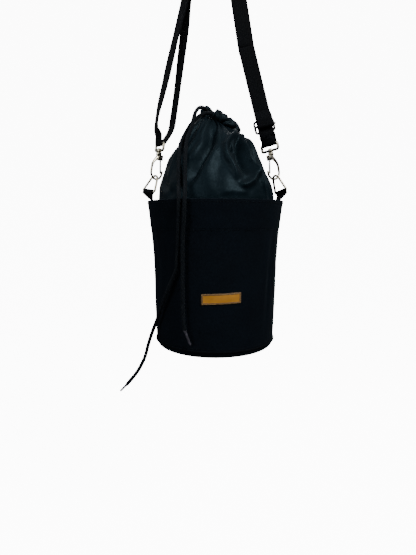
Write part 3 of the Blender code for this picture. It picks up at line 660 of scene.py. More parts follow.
CANVAS = canvas_look("navy_canvas", (0.0013, 0.0026, 0.0046))
CANVAS_DARK = canvas_look("dark_binding", (0.0008, 0.0014, 0.0024), 0.0007)
NYLON = nylon_look("navy_nylon", (0.0019, 0.0044, 0.0064))
CASING_NYLON = nylon_look("casing_nylon", (0.0013, 0.003, 0.0044), (0.4, 0.6))
LINING_NYLON = nylon_look("lining_nylon", (0.012, 0.016, 0.02), (0.5, 0.7))
WEBBING = webbing_look("black_webbing", (0.0007, 0.001, 0.0016))
CORD = cord_look()
CORD_TIP = coated_look("cord_tip", (0.022, 0.021, 0.027), 0.25)
OCHRE = patch_look("ochre_patch", (0.30, 0.125, 0.006), 0.00006)
OCHRE_EDGE = patch_look("ochre_border", (0.085, 0.045, 0.013), 0.00012)
DARK_THREAD = thread_look("dark_thread", (0.0018, 0.0034, 0.0055))
TAN_THREAD = thread_look("tan_thread", (0.34, 0.21, 0.08), 0.3)
NICKEL = metal_look("nickel_plate", (0.50, 0.46, 0.35), 0.22)
STEEL = metal_look("gate_steel", (0.62, 0.62, 0.63), 0.3)
DARK_STEEL = metal_look("pin_steel", (0.06, 0.058, 0.055), 0.35)
SLIDER_BLACK = coated_look("slider_black", (0.012, 0.0115, 0.011), 0.3)
BOARD_GREY = coated_look("board_grey", (0.05, 0.05, 0.05), 0.6)


# Drawcord


def cord_route(points, step=0.003):
    return smooth([at(*point) for point in points], step)


def add_tip(label, start, heading, length):
    """A thin stiff end: a collar over the braid, then a tapering shaft."""
    radius = CORD_RADIUS
    profile = [
        (radius * 0.55, -0.0022),
        (radius * 0.95, -0.0018),
        (radius * 0.98, -0.0004),
        (TIP_RADIUS * 1.1, 0.0012),
        (TIP_RADIUS, 0.0030),
        (TIP_RADIUS * 0.94, length * 0.6),
        (TIP_RADIUS * 0.85, length - 0.0012),
        (TIP_RADIUS * 0.6, length - 0.0003),
        (0.0001, length),
    ]
    tip = add_turned("cord_tip_visual_" + label, start, heading, profile, CORD_TIP, 20)
    return tip


def add_cords():
    for label, (controls, heading, length) in TIPS.items():
        route = cord_route(controls)
        tail = add_tube("drawcord_visual_" + label, route, CORD_RADIUS, CORD, 20, dome=False)
        heading = heading.normalized()
        tip = add_tip(label, at(*controls[-1]) + heading * TIP_GAP, heading, length)
        belongs(tail, "bag", "cord", "drawcord_tail_" + label)
        belongs(tip, "bag", "cord_tip", "cord_tip_" + label)


# Bag body


def body_radius(height):
    """Outer radius of the canvas wall: nearly straight, with the rim flaring out."""
    share = height / BODY_HEIGHT
    taper = 0.003 * (1 - share) ** 2
    flare = RIM_FLARE * max(0.0, (share - 0.56) / 0.44) ** 2
    return BODY_RADIUS - taper + flare


def hump(value, centre, width):
    return math.exp(-(((value - centre) / width) ** 2))


# Creases in the wall: middle azimuth and slant in degrees, heights from and to, width in degrees, depth.
WALL_CREASES = (
    (49, 3, 0.035, 0.150, 2.6, 0.0011),
    (55, 3, 0.020, 0.150, 3.5, -0.0012),
    (64, -2, 0.060, 0.165, 4.0, 0.0009),
    (-58, -4, 0.090, 0.165, 3.0, 0.0009),
    (-66, -3, 0.070, 0.160, 3.5, -0.0010),
    (-47, 2, 0.080, 0.150, 2.6, -0.0006),
    (118, 5, 0.040, 0.150, 5.0, -0.0013),
    (150, -6, 0.050, 0.160, 4.0, 0.0010),
    (196, 4, 0.030, 0.150, 5.0, -0.0012),
    (236, -5, 0.050, 0.150, 4.0, 0.0010),
    (262, 3, 0.030, 0.140, 5.0, -0.0011),
)


def azimuth_gap(first, second):
    """Degrees from the second azimuth to the first, from -180 to 180."""
    return (first - second + 180) % 360 - 180


def wall_relief(azimuth, height):
    """How far the cloth of the wall stands out of its plain round shape."""
    relief = 0.0
    for middle, slant, low, high, width, depth in WALL_CREASES:
        share = (height - low) / (high - low)
        if 0 < share < 1:
            fade = math.sin(math.pi * share) ** 0.8
            offset = azimuth_gap(azimuth, middle + slant * (2 * share - 1))
            relief += depth * fade * math.exp(-((offset / width) ** 2))
    angle = math.radians(azimuth)
    spot = Vector((math.sin(angle), math.cos(angle), height * 12)) * 1.6
    quiet = min(1.0, height / 0.02)
    relief += 0.0011 * quiet * noise.noise(spot + Vector((SEED, 0, 0)))
    relief += 0.0004 * quiet * noise.noise(spot * 3.1)
    return relief


def ring_at(reach, height, azimuths):
    """Points round the bag's middle, at azimuths in degrees."""
    ring = []
    for azimuth in azimuths:
        angle = math.radians(azimuth)
        ring.append(at(reach * math.sin(angle), -reach * math.cos(angle), height))
    return ring


def wall_point(azimuth, height, outset):
    """A point on the wall; azimuth 0 is the front and 90 the right, in degrees."""
    reach = body_radius(height) + wall_relief(azimuth, height) + outset
    angle = math.radians(azimuth)
    return at(reach * math.sin(angle), -reach * math.cos(angle), height)


def hem_outset(height):
    """The doubled band below the rim stands out a little, and its stitching draws it in."""
    line = BODY_HEIGHT - FACING_DEPTH
    step = 0.00045 / (1 + math.exp(-(height - line) / 0.0006))
    groove = 0.0004 * hump(height, line + HEM_STITCH_RISE, 0.0009)
    edge = 0.00025 * hump(height, BODY_HEIGHT - RIM_STITCH_DROP, 0.0009)
    return step - groove - edge


def build_wall(azimuths):
    low = BINDING_HEIGHT + 0.0002
    heights = [low + (BODY_HEIGHT - 0.0012 - low) * i / 110 for i in range(111)]
    rows = [[wall_point(a, h, hem_outset(h)) for a in azimuths] for h in heights]
    half = RIM_THICKNESS / 2
    for i in range(1, 8):
        angle = math.pi * i / 8
        outset = hem_outset(heights[-1]) - half + half * math.cos(angle)
        height = heights[-1] + 0.0012 * math.sin(angle)
        rows.append([wall_point(a, height, outset) for a in azimuths])
    inside = [heights[-1] - FACING_DEPTH * i / 16 for i in range(17)]
    rows += [[wall_point(a, h, -RIM_THICKNESS) for a in azimuths] for h in inside]
    wall = add_grid("canvas_wall", rows, CANVAS, wrap=True)
    belongs(wall, "bag", "canvas", "body_panel", "rim_facing")


def build_base(azimuths):
    rows = []
    flat = body_radius(0) - BASE_CORNER
    for i in range(9):
        angle = math.pi / 2 * i / 8
        reach = flat + BASE_CORNER * math.sin(angle)
        height = BASE_CORNER - BASE_CORNER * math.cos(angle)
        rows.append(ring_at(reach, height, azimuths))
    dish = []
    for share in (0.02, 0.2, 0.4, 0.6, 0.8, 0.93):
        reach = flat * share
        lift = 0.0006 * (1 - share**2)
        dish.append(ring_at(reach, lift, azimuths))
    base = add_grid("canvas_base", dish + rows, CANVAS, wrap=True, measured_row=len(dish) + 7)
    belongs(base, "bag", "base_canvas", "base_panel")


def build_binding(azimuths):
    ring = [wall_point(a, BINDING_HEIGHT - 0.0002, 0.0001) for a in azimuths]
    binding = add_tube("bound_seam", ring, BINDING_RADIUS, CANVAS_DARK, 12, closed=True)
    belongs(binding, "bag", "binding", "base_binding")


def build_lining(azimuths):
    rows = []
    for i in range(30):
        height = LINING_FOOT + (BODY_HEIGHT - FACING_DEPTH - LINING_FOOT) * i / 29
        rows.append([wall_point(a, height, -LINING_INSET) for a in azimuths[::2]])
    floor = []
    for share in (0.02, 0.5, 0.9, 0.98):
        floor.append(ring_at(LINING_RADIUS * share, LINING_FLOOR, azimuths[::2]))
    lining = add_grid("inner_lining", floor + rows, LINING_NYLON, wrap=True, measured_row=len(floor))
    belongs(lining, "bag", "lining", "lining")


def build_body():
    azimuths = [360 * i / WALL_COLUMNS for i in range(WALL_COLUMNS)]
    for build in (build_wall, build_base, build_binding, build_lining):
        build(azimuths)


def add_stitches(name, spots, material, radius=0.00032):
    """Short raised threads, each from one point to another and bulging along a third direction."""
    made = []
    for start, end, out in spots:
        middle = (start + end) / 2 + out * radius
        first, last = start - out * radius, end - out * radius
        points = [first, start.lerp(middle, 0.6), middle, end.lerp(middle, 0.6), last]
        made.append(tube_rows(points, [radius * k for k in (0.5, 0.95, 1, 0.95, 0.5)], 6))
    faces, points = [], []
    for rows in made:
        base = len(points)
        points += [tuple(p) for row in rows for p in row]
        for i in range(len(rows) - 1):
            for j in range(6):
                a, b = base + i * 6 + j, base + i * 6 + (j + 1) % 6
                faces.append((a, b, b + 6, a + 6))
    mesh = bpy.data.meshes.new(name)
    mesh.from_pydata(points, [], faces)
    mesh.uv_layers.new(name="metres")
    mesh.shade_smooth()
    return add_object(name, mesh, material)


def wall_stitches(height, pitch=3.0, share=0.62):
    """Stitches round the wall at one height, pitch millimetres apart."""
    count = round(2 * math.pi * body_radius(height) * 1000 / pitch)
    spots = []
    for i in range(count):
        start, end = 360 * i / count, 360 * (i + share) / count
        out = Vector((math.sin(math.radians(start)), -math.cos(math.radians(start)), 0))
        lift = hem_outset(height) + 0.00012
        spots.append((wall_point(start, height, lift), wall_point(end, height, lift), out))
    return spots


def build_wall_stitches():
    spots = wall_stitches(BODY_HEIGHT - FACING_DEPTH + HEM_STITCH_RISE)
    spots += wall_stitches(BODY_HEIGHT - RIM_STITCH_DROP)
    spots += wall_stitches(BINDING_HEIGHT + BASE_STITCH_RISE)
    stitches = add_stitches("wall_stitching", spots, DARK_THREAD)
    belongs(stitches, "bag", "canvas")


# Skirt: its plain outline, then the folds that lie on it.

# Rise above the rim, radius and shift to the right, all in millimetres.
SKIRT_OUTLINE = (
    (-35.6, 77.2, 0.0),
    (-33.5, 73.6, 0.0),
    (-30.0, 72.3, 0.2),
    (-12.0, 72.2, 0.8),
    (0.0, 72.8, 1.2),
    (7.0, 72.6, 1.2),
    (19.0, 70.6, 0.6),
    (34.0, 64.8, 0.0),
    (49.0, 58.8, -1.2),
    (57.0, 54.4, -0.6),
    (64.0, 49.6, 0.2),
    (71.5, 44.2, 1.2),
    (78.5, 38.4, 2.2),
    (85.0, 31.6, 3.4),
    (90.0, 25.0, 3.0),
    (93.5, 19.6, 1.2),
    (96.0, 15.6, -1.2),
    (98.5, 13.2, -3.4),
)
# Folds on the skirt: height in millimetres (a valley's is negative), half-width to its left and
# right, and its route as (rise, azimuth in degrees) from the mouth down.
SKIRT_FOLDS = (
    (-9.5, 9.0, 5.0, ((96, -14), (80, -10), (64, -7), (50, -12), (38, -19), (24, -25), (10, -31))),
    (2.6, 5.0, 8.0, ((92, -2), (72, 1), (58, -1), (44, -7), (30, -14), (14, -20))),
    (3.0, 4.5, 4.0, ((98, -30), (80, -24), (66, -20), (54, -24), (40, -31))),
    (2.4, 3.0, 3.0, ((96, -48), (82, -36), (70, -32), (56, -36), (40, -38), (20, -38))),
    (-2.6, 3.5, 3.5, ((92, -58), (78, -46), (60, -45), (42, -44), (26, -44))),
    (2.2, 4.0, 4.0, ((90, -75), (74, -58), (58, -54), (38, -55), (18, -58))),
    (-2.2, 4.0, 3.0, ((70, -68), (56, -62), (44, -60), (34, -60))),
    (6.6, 3.2, 5.5, ((94, 48), (84, 37), (72, 22), (60, 12), (50, 12), (38, 16), (26, 19), (15, 22))),
    (-4.4, 3.0, 2.4, ((74, 28), (64, 19), (57, 17), (50, 19))),
    (2.4, 2.4, 2.4, ((80, 36), (66, 27), (56, 23), (48, 23))),
    (-10.5, 5.5, 7.5, ((82, 46), (70, 34), (58, 30), (46, 30), (36, 32), (26, 33))),
    (5.0, 3.8, 3.6, ((16, 19), (16, 27), (21, 36), (31, 44), (44, 48))),
    (5.0, 3.2, 3.4, ((88, 62), (76, 48), (66, 44), (50, 43), (36, 46), (18, 49), (2, 56))),
    (-4.6, 3.0, 3.0, ((86, 72), (74, 58), (64, 54), (46, 51), (26, 53), (8, 58), (-4, 62))),
    (2.6, 3.4, 5.0, ((90, 84), (76, 68), (60, 63), (40, 62), (20, 64), (0, 70))),
    (-2.2, 3.5, 4.0, ((82, 88), (64, 76), (42, 74), (20, 78), (0, 84))),
    (1.4, 3.5, 4.0, ((7, 2), (9, 12), (8, 24), (9, 32))),
    (-1.6, 7.0, 9.0, ((52, 5), (36, 3), (20, 0), (8, -4))),
    (-1.8, 6.0, 6.0, ((30, -68), (18, -60), (8, -50), (4, -40))),
    (1.6, 5.0, 5.0, ((14, -74), (10, -60), (9, -46))),
)
MOUTH_PLEATS = 23


def back_folds():
    """Folds round the sides and back, drawn from a seeded choice."""
    pick = random.Random(SEED)
    folds = []
    azimuth = 96.0
    sign = 1
    while azimuth < 272:
        drift = pick.uniform(-9, 9)
        end = pick.uniform(4, 44)
        height = sign * pick.uniform(2.2, 4.4)
        route = [(94, azimuth + pick.uniform(-3, 3))]
        for share in (0.25, 0.5, 0.75, 1.0):
            route.append((94 + (end - 94) * share, azimuth + drift * share + pick.uniform(-2, 2)))
        folds.append((height, pick.uniform(3, 5.5), pick.uniform(3, 5.5), tuple(route)))
        azimuth += pick.uniform(8, 13)
        sign = -sign
    return folds


def soft_step(value, low, high):
    share = np.clip((value - low) / (high - low), 0, 1)
    return share * share * (3 - 2 * share)


def fold_relief(rise, azimuth, radius, folds):
    """Relief of all folds on arrays of rise, azimuth and radius, in millimetres and degrees."""
    relief = np.zeros(rise.shape)
    turn = np.pi / 180
    for height, left, right, route in folds:
        nearest = np.full(rise.shape, np.inf)
        side = np.zeros(rise.shape)
        share = np.zeros(rise.shape)
        for i, ((rise_a, azimuth_a), (rise_b, azimuth_b)) in enumerate(zip(route, route[1:])):
            along_x = azimuth_gap(azimuth, azimuth_a) * turn * radius
            along_y = rise - rise_a
            step_x = (azimuth_b - azimuth_a) * turn * radius
            step_y = rise_b - rise_a
            t = np.clip((along_x * step_x + along_y * step_y) / (step_x**2 + step_y**2), 0, 1)
            gap_x, gap_y = along_x - t * step_x, along_y - t * step_y
            distance = np.hypot(gap_x, gap_y)
            closer = distance < nearest
            nearest = np.where(closer, distance, nearest)
            side = np.where(closer, gap_x * -step_y + gap_y * step_x, side)
            share = np.where(closer, (i + t) / (len(route) - 1), share)
        width = np.where(side < 0, left, right)
        fade = soft_step(share, -0.02, 0.22) * (1 - soft_step(share, 0.72, 1.0))
        relief += height * fade * np.exp(-((nearest / width) ** 2))
    return relief


def skirt_points(columns, steps):
    """The skirt as an array of points, row by row from its sewn edge to the mouth."""
    outline = np.array([tuple(v) for v in smooth(SKIRT_OUTLINE, steps)])
    rise, radius, shift = (column[:, None] for column in outline.T)
    azimuth = np.linspace(0, 360, columns, endpoint=False)[None, :]
    rise, radius, shift, azimuth = np.broadcast_arrays(rise, radius, shift, azimuth)
    relief = fold_relief(rise, azimuth, radius, SKIRT_FOLDS + tuple(back_folds()))
    angle = np.radians(azimuth)
    gather = soft_step(rise, 58, 92)
    wander = 0.5 * np.sin(3 * angle + 1.1) + 0.3 * np.sin(7 * angle + 0.4)
    pleats = np.sin(MOUTH_PLEATS * (angle + 0.12 * wander)) + 0.5 * np.sin(37 * angle + 2 * wander)
    relief = relief * (1 - 0.55 * soft_step(rise, 84, 98)) + 1.15 * gather * pleats
    relief = relief * soft_step(rise, -34, -22) * (0.5 + 0.5 * soft_step(rise, -10, 8))
    ripple = np.array(
        [
            [noise.noise(Vector((math.sin(a) * 2.2, math.cos(a) * 2.2, r / 26))) for a in angle[0]]
            for r in rise[:, 0]
        ]
    )
    relief = relief + 1.8 * ripple * soft_step(rise, -20, 10) * (1 - soft_step(rise, 70, 96))
    # Nothing stands out beside the hooks, so that they swing clear.
    beside_hooks = sum(np.exp(-((azimuth_gap(azimuth, middle) / 20) ** 2)) for middle in (90, 270))
    relief = relief - np.clip(relief, 0, None) * beside_hooks
    slope = np.gradient(radius[:, 0], rise[:, 0])[:, None]
    tilt = np.arctan(-slope)
    out = relief * np.cos(tilt)
    up = relief * np.sin(tilt)
    lean = soft_step(rise, 60, 99)
    reach = radius + out
    right = np.clip(np.sin(angle), 0, 1)
    wider = np.clip(MOUTH_REACH_RIGHT * 1000 - 1 - radius, 0, None) * right
    tip = np.sin(CASING_TILT) * lean**2 * (radius + wider) * np.sin(angle)
    x = ((reach + wider) * np.sin(angle) + shift * (1 - 0.6 * right * lean)) / 1000
    y = -reach * np.cos(angle) / 1000
    z = BASE_Z + BODY_HEIGHT + (rise + up - tip) / 1000
    return np.stack([x, y, z], axis=2)


def build_skirt():
    rows = skirt_points(420, 1.25)
    skirt = add_grid("gathered_skirt", rows, NYLON, wrap=True, measured_row=14)
    belongs(skirt, "bag", "nylon", "skirt")


# Casing at the mouth


def casing_matrix():
    return Matrix.Translation(at(0, 0, BODY_HEIGHT + SKIRT_HEIGHT)) @ Matrix.Rotation(CASING_TILT, 4, "Y")


def casing_line(start, end, steps):
    placed = casing_matrix()
    line = []
    for i in range(steps + 1):
        angle = start + (end - start) * i / steps
        reach = MOUTH_REACH_RIGHT if math.cos(angle) > 0 else CASING_RADIUS
        line.append(placed @ Vector((reach * math.cos(angle), CASING_RADIUS * math.sin(angle), 0)))
    return line


def build_casing():
    """The bunched channel: a soft tube drawn up on the cord, so that it stands in sharp puckers."""
    steps, sides = 220, 44
    line = casing_line(CASING_FROM, CASING_TO, steps)
    tangents = directions(line)
    normal = casing_matrix().to_3x3().col[2]
    rows = []
    for i, (point, tangent) in enumerate(zip(line, tangents)):
        across = tangent.cross(normal).normalized()
        share = i / steps
        phase = share * 17 + 0.9 * math.sin(share * 9 + 0.7)
        row = []
        for j in range(sides):
            angle = 2 * math.pi * j / sides
            bend = 0.35 * math.sin(angle * 2 + share * 21) + 0.2 * math.sin(angle * 3 - share * 13)
            pucker = abs(math.sin(math.pi * (phase + bend)))
            reach = CASING_OUTER * (0.82 + 0.42 * pucker**0.6)
            reach *= 1 + 0.12 * math.cos(angle) + 0.08 * math.sin(angle + share * 8)
            row.append(point + reach * (math.cos(angle) * across + math.sin(angle) * normal))
        rows.append(row)
    opening = CORD_RADIUS + 0.0004

    def mouth(index, outward):
        point, tangent = line[index], tangents[index] * outward
        across = tangents[index].cross(normal).normalized()
        found = []
        for reach_share, inset in ((0.85, 0.0007), (0.62, 0.0008), (0.5, 0.0), (0.45, -0.002), (0.4, -0.005)):
            reach = max(opening, CASING_OUTER * reach_share)
            middle = point + tangent * inset
            found.append(
                [
                    middle
                    + reach
                    * (1 + 0.06 * math.sin(5 * a + index))
                    * (math.cos(a) * across + math.sin(a) * normal)
                    for a in (2 * math.pi * j / sides for j in range(sides))
                ]
            )
        return found

    rows = mouth(0, -1)[::-1] + rows + mouth(steps, 1)
    casing = add_grid("mouth_channel", rows, CASING_NYLON, wrap=True, measured_row=12)
    belongs(casing, "bag", "casing", "mouth_casing")
    inset = math.radians(2)
    loop = add_tube(
        "drawcord_visual_loop", casing_line(CASING_FROM + inset, CASING_TO - inset, 40), CORD_RADIUS, CORD, 16
    )
    belongs(loop, "bag", "cord", "drawcord_loop")


# Patch


def patch_point(across, rise, lift):
    """A point of the patch, from offsets along it, up it and out of it."""
    x = PATCH_CENTRE[0] + across
    height = PATCH_CENTRE[1] + rise + PATCH_SLOPE * across
    azimuth = math.degrees(x / BODY_RADIUS)
    return wall_point(azimuth, height, GAP + lift)


def patch_rows(half_width, half_height, corner, levels):
    """Rounded-rectangle rings, each (inset from the outline, lift)."""
    rows = []
    for inset, lift in levels:
        w, h, r = half_width - inset, half_height - inset, max(corner - inset, 0.00005)
        ring = []
        for quarter, (sx, sz) in enumerate(((1, 1), (-1, 1), (-1, -1), (1, -1))):
            for i in range(6):
                angle = math.pi / 2 * (quarter + i / 5)
                ring.append((sx * (w - r) + r * math.cos(angle), sz * (h - r) + r * math.sin(angle)))
        dense = []
        for (xa, ya), (xb, yb) in zip(ring, ring[1:] + ring[:1]):
            count = max(1, round(half_width / 0.0012)) if abs(xb - xa) > half_width * 0.6 else 1
            dense += [(xa + (xb - xa) * k / count, ya + (yb - ya) * k / count) for k in range(count)]
        rows.append([patch_point(x, y, lift) for x, y in dense])
    return rows


def build_patch():
    half_width, half_height = PATCH_SIZE[0] / 2, PATCH_SIZE[1] / 2
    border = patch_rows(
        half_width,
        half_height,
        0.0009,
        [
            (0.0, 0.0),
            (0.0, 0.0005),
            (0.0003, 0.0008),
            (0.0016, 0.00085),
            (0.0020, 0.00062),
            (0.0023, 0.00062),
        ],
    )
    edge = add_grid("patch_border", border, OCHRE_EDGE, wrap=True)
    columns = 40
    rows = []
    for i in range(9):
        rise = (half_height - PATCH_BORDER) * (i / 4 - 1)
        lift = 0.00066 + 0.00012 * (1 - (i / 4 - 1) ** 2)
        across = [(half_width - PATCH_BORDER) * (2 * j / columns - 1) for j in range(columns + 1)]
        rows.append([patch_point(x, rise, lift) for x in across])
    field = add_grid("patch_field", rows, OCHRE)
    patch = join("ochre_label_patch", edge, field)
    belongs(patch, "bag", "patch", "patch")
    spots = []
    pitch = 0.0021
    margin = 0.0010
    w, h = half_width - margin, half_height - margin
    out = Vector((0, -1, 0))
    for sign in (-1, 1):
        count = int(2 * w / pitch)
        for i in range(count):
            x = -w + (i + 0.2) * 2 * w / count
            ends = [patch_point(x + along, sign * h, PATCH_STITCH_LIFT) for along in (0, pitch * 0.6)]
            spots.append((*ends, out))
        count = int(2 * h / pitch)
        for i in range(count):
            y = -h + (i + 0.2) * 2 * h / count
            ends = [patch_point(sign * w, y + along, PATCH_STITCH_LIFT) for along in (0, pitch * 0.6)]
            spots.append((*ends, out))
    stitches = add_stitches("patch_stitching", spots, TAN_THREAD, 0.00022)
    belongs(stitches, "bag", "patch")


# Webbing


def squared(width, tangent):
    return (width - tangent * width.dot(tangent)).normalized()


def level(yaw_degrees):
    angle = math.radians(yaw_degrees)
    return Vector((math.cos(angle), math.sin(angle), 0))


def vector_xz(angle):
    return Vector((math.cos(angle), 0, math.sin(angle)))


def smooth_frames(controls, step):
    joined = [Vector((*point, *width)) for point, width in controls]
    return [(Vector(v[:3]), Vector(v[3:])) for v in smooth(joined, step)]


def square_frames(controls, step):
    frames = smooth_frames(controls, step)
    tangents = directions([point for point, _ in frames])
    return [(point, squared(width, tangent)) for (point, width), tangent in zip(frames, tangents)]


def ribbon_section(breadth, thickness, columns=14):
    """A flat band's outline with rounded, slightly thicker edges: (across, out) pairs."""
    half, rise = breadth / 2, thickness / 2
    outline = []
    for i in range(columns + 1):
        across = (half - rise) * (2 * i / columns - 1)
        swell = 1 + 0.12 * (abs(across) / half) ** 12
        outline.append((across, -rise * swell))
    outline += [(half - rise * 0.4, -rise * 0.85), (half, 0), (half - rise * 0.4, rise * 0.85)]
    for i in range(columns + 1):
        across = (half - rise) * (1 - 2 * i / columns)
        swell = 1 + 0.12 * (abs(across) / half) ** 12
        outline.append((across, rise * swell))
    outline += [(-half + rise * 0.4, rise * 0.85), (-half, 0), (-half + rise * 0.4, -rise * 0.85)]
    return outline


def add_ribbon(name, frames, breadth=WEBBING_WIDTH, thickness=WEBBING_THICKNESS):
    """Webbing along a path, its cut ends closed. Each frame is a point and a width direction."""
    points = [point for point, _ in frames]
    outline = ribbon_section(breadth, thickness)
    tangents = directions(points)
    rows = []
    for (point, width), tangent in zip(frames, tangents):
        width = width.normalized()
        normal = tangent.cross(width).normalized()
        rows.append([point + width * across + normal * out for across, out in outline])
    for index, turn in ((0, -1), (-1, 1)):
        middle = points[index] + tangents[index] * turn * 0.0002
        closing = [middle + (spot - points[index]) * 0.1 for spot in rows[index]]
        rows = [closing] + rows if index == 0 else rows + [closing]
    return add_grid(name, rows, WEBBING, wrap=True, measured_row=2)


def round_bar(centre, across, up, bar, start, end, steps=10):
    reach = WIRE + GAP + WEBBING_THICKNESS / 2
    frames = []
    for i in range(steps + 1):
        angle = math.radians(start + (end - start) * i / steps)
        frames.append((centre + reach * (math.cos(angle) * across + math.sin(angle) * up), bar))
    return frames


def frame_matrix(origin, across, up):
    up = up.normalized()
    across = (across - up * across.dot(up)).normalized()
    matrix = Matrix((across, up.cross(across), up)).transposed().to_4x4()
    return Matrix.Translation(origin) @ matrix


def hook_origin(label):
    """The middle of the eye's lower bar, and the hook's upward direction."""
    joint = JOINTS[f"hook_{label}_swivel"]
    axis = Vector(joint["axis"]).normalized()
    return Vector(joint["pos_m"]) + axis * HOOK_LENGTH, axis


def eye_matrix(label):
    origin, axis = hook_origin(label)
    return frame_matrix(origin, level(SIDES[label]["eye_yaw"]), axis)


def hook_matrix(label):
    """X runs from the hook's spine to its nose, Y along the gate's pin, and Z up."""
    origin, axis = hook_origin(label)
    pin = Vector(JOINTS[f"gate_{label}_open"]["axis"])
    return frame_matrix(origin, pin.cross(axis), axis)


def ring_matrix(label):
    joint = JOINTS[f"ring_{label}_play"]
    bar = Vector(joint["pos_m"])
    bow = Vector(JOINTS[f"hook_{label}_swivel"]["pos_m"])
    top = bow + Vector((0, 0, 2 * WIRE + RING_PLAY))
    return frame_matrix(bar, Vector(joint["axis"]), top - bar)


def eye_bar(label):
    matrix = eye_matrix(label)
    axes = matrix.to_3x3()
    return matrix @ Vector((0, 0, EYE_SPREAD)), axes.col[0], axes.col[1], axes.col[2]


def peg_arc():
    return PEG_RADIUS + WEBBING_THICKNESS / 2, -PEG_RADIUS


def strap_point(label, out, up):
    bar = eye_bar(label)[0]
    reach, peg_height = peg_arc()
    across = reach + (abs(bar.x) - reach) * out
    return Vector((SIDES[label]["sign"] * across, 0, bar.z + (peg_height - bar.z) * up))


def strap_controls(label, shares):
    return [(strap_point(label, out, up), level(yaw)) for out, up, yaw in shares]


def leg_ends():
    low = eye_bar("right")[0] + Vector((-LEG_INSET, 0, LEG_RISE))
    return low, strap_point("right", *LEG_TOP)


def leg_frame():
    low, high = leg_ends()
    up = (high - low).normalized()
    width = squared(level(LEG_YAW), up)
    return up, up.cross(width), width


def shoulder_controls():
    reach, peg_height = peg_arc()
    controls = [(leg_ends()[1], level(LEG_YAW))]
    controls += strap_controls("right", SHOULDER_RIGHT)
    for i in range(7):
        spot = vector_xz(math.pi * i / 6) * reach + Vector((0, 0, peg_height))
        controls.append((spot, level(-90)))
    return controls + strap_controls("left", SHOULDER_LEFT)


def offset_frames(frames, distance):
    tangents = directions([point for point, _ in frames])
    moved = []
    for (point, width), tangent in zip(frames, tangents):
        moved.append((point + tangent.cross(width) * distance, width))
    return moved


def slider_offsets():
    half = WEBBING_THICKNESS / 2
    return -(half + GAP + WIRE), half + GAP + WEBBING_THICKNESS + GAP + WIRE


def slider_matrix():
    up, outward, width = leg_frame()
    centre = leg_ends()[0] + up * SLIDER_RISE
    return Matrix.Translation(centre) @ Matrix((-width, outward, up)).transposed().to_4x4()


def build_strap():
    """One webbing: sewn to the right eye, over the peg, round the left eye and back to the slider."""
    step = 0.0035
    layer = WEBBING_THICKNESS + LAYER_GAP
    up, outward, width = leg_frame()
    left_bar, left_dir, left_across, left_up = eye_bar("left")
    right_bar, right_dir, right_across, right_up = eye_bar("right")
    if left_across.x < 0:
        left_across = -left_across
    if right_across.y > 0:
        right_across = -right_across
    wrap = -right_dir
    leg_low, leg_high = leg_ends()
    leg_length = (leg_high - leg_low).length

    main = [
        (right_bar + right_up * SEWN_TAIL - right_across * 0.0011, wrap),
        (right_bar + right_up * SEWN_TAIL / 2 - right_across * 0.0020, wrap),
    ]
    main += round_bar(right_bar, right_across, right_up, wrap, 180, 360)
    main += [(right_bar + right_up * 0.0045 + right_across * 0.0018, wrap)]
    rises = [0.0, 0.004] + [leg_length * share for share in (0.28, 0.62, 0.93)]
    main += [(leg_low + up * rise, width) for rise in rises]
    shared_from = len(square_frames(main, step)) + 2
    main += shoulder_controls()
    shared_to = len(square_frames(main, step)) - 2
    main += strap_controls("left", INNER_LEFT)
    main += round_bar(left_bar, left_across, left_up, left_dir, -30, -168)
    end_of_main = left_bar - left_across * 0.0030 + left_up * 0.0050
    main += [(end_of_main, left_dir)]
    main_frames = square_frames(main, step)
    run = add_ribbon("webbing_main_run", main_frames)
    belongs(run, "strap", "webbing", "strap_main_run")

    outer = offset_frames(main_frames, layer)[shared_from:shared_to]
    outer.reverse()
    seam = (main_frames[-1][0] - main_frames[-2][0]).normalized()
    back = [(end_of_main + seam * along, left_dir) for along in (0.0, 0.0045)]
    back += strap_controls("left", OUTER_LEFT)
    back = square_frames(back + outer[:2], step)[:-1] + outer[2:-1]

    bar = slider_matrix() @ Vector((0, slider_offsets()[1], 0))
    reach = WIRE + GAP + WEBBING_THICKNESS / 2
    foot = 0.018
    head = foot + SLIDER_TRAVEL + 0.0012
    face = leg_low + up * SLIDER_RISE + outward * layer
    upper = back + square_frames([back[-1], (face + up * head, width)], step)[1:]
    fixed = add_ribbon("webbing_return_run", upper)
    belongs(fixed, "strap", "webbing", "strap_return_run")

    gathered = square_frames([(face + up * head, width), (face + up * foot, width)], 0.002)
    slack = add_ribbon("webbing_return_slack", gathered)
    belongs(slack, "strap", "webbing", "strap_return_run")
    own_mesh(slack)

    end = [(face + up * foot, width)]
    end += [(bar + up * 0.010 + outward * (reach - 0.0004), width)]
    end += [(bar + up * 0.004 + outward * reach, width)]
    end += round_bar(bar, outward, up, width, 0, -180)
    end += [
        (bar + up * 0.005 - outward * reach, width),
        (bar + up * 0.012 - outward * (reach - 0.0006), width),
    ]
    loop = add_ribbon("webbing_slider_loop", square_frames(end, 0.0018))
    belongs(loop, "slider", "webbing", "strap_return_run")

    spots = []
    low = right_bar + right_up * 0.0068 + right_across * 0.0026
    face_out = right_across
    for rise in (0.0, 0.0042):
        for i in range(6):
            start = low + right_up * rise + wrap * (0.0150 * (i / 6 - 0.5))
            spots.append((start, start + wrap * 0.0016, face_out))
    stitches = add_stitches("webbing_end_stitching", spots, DARK_THREAD, 0.00028)
    belongs(stitches, "strap", "webbing")


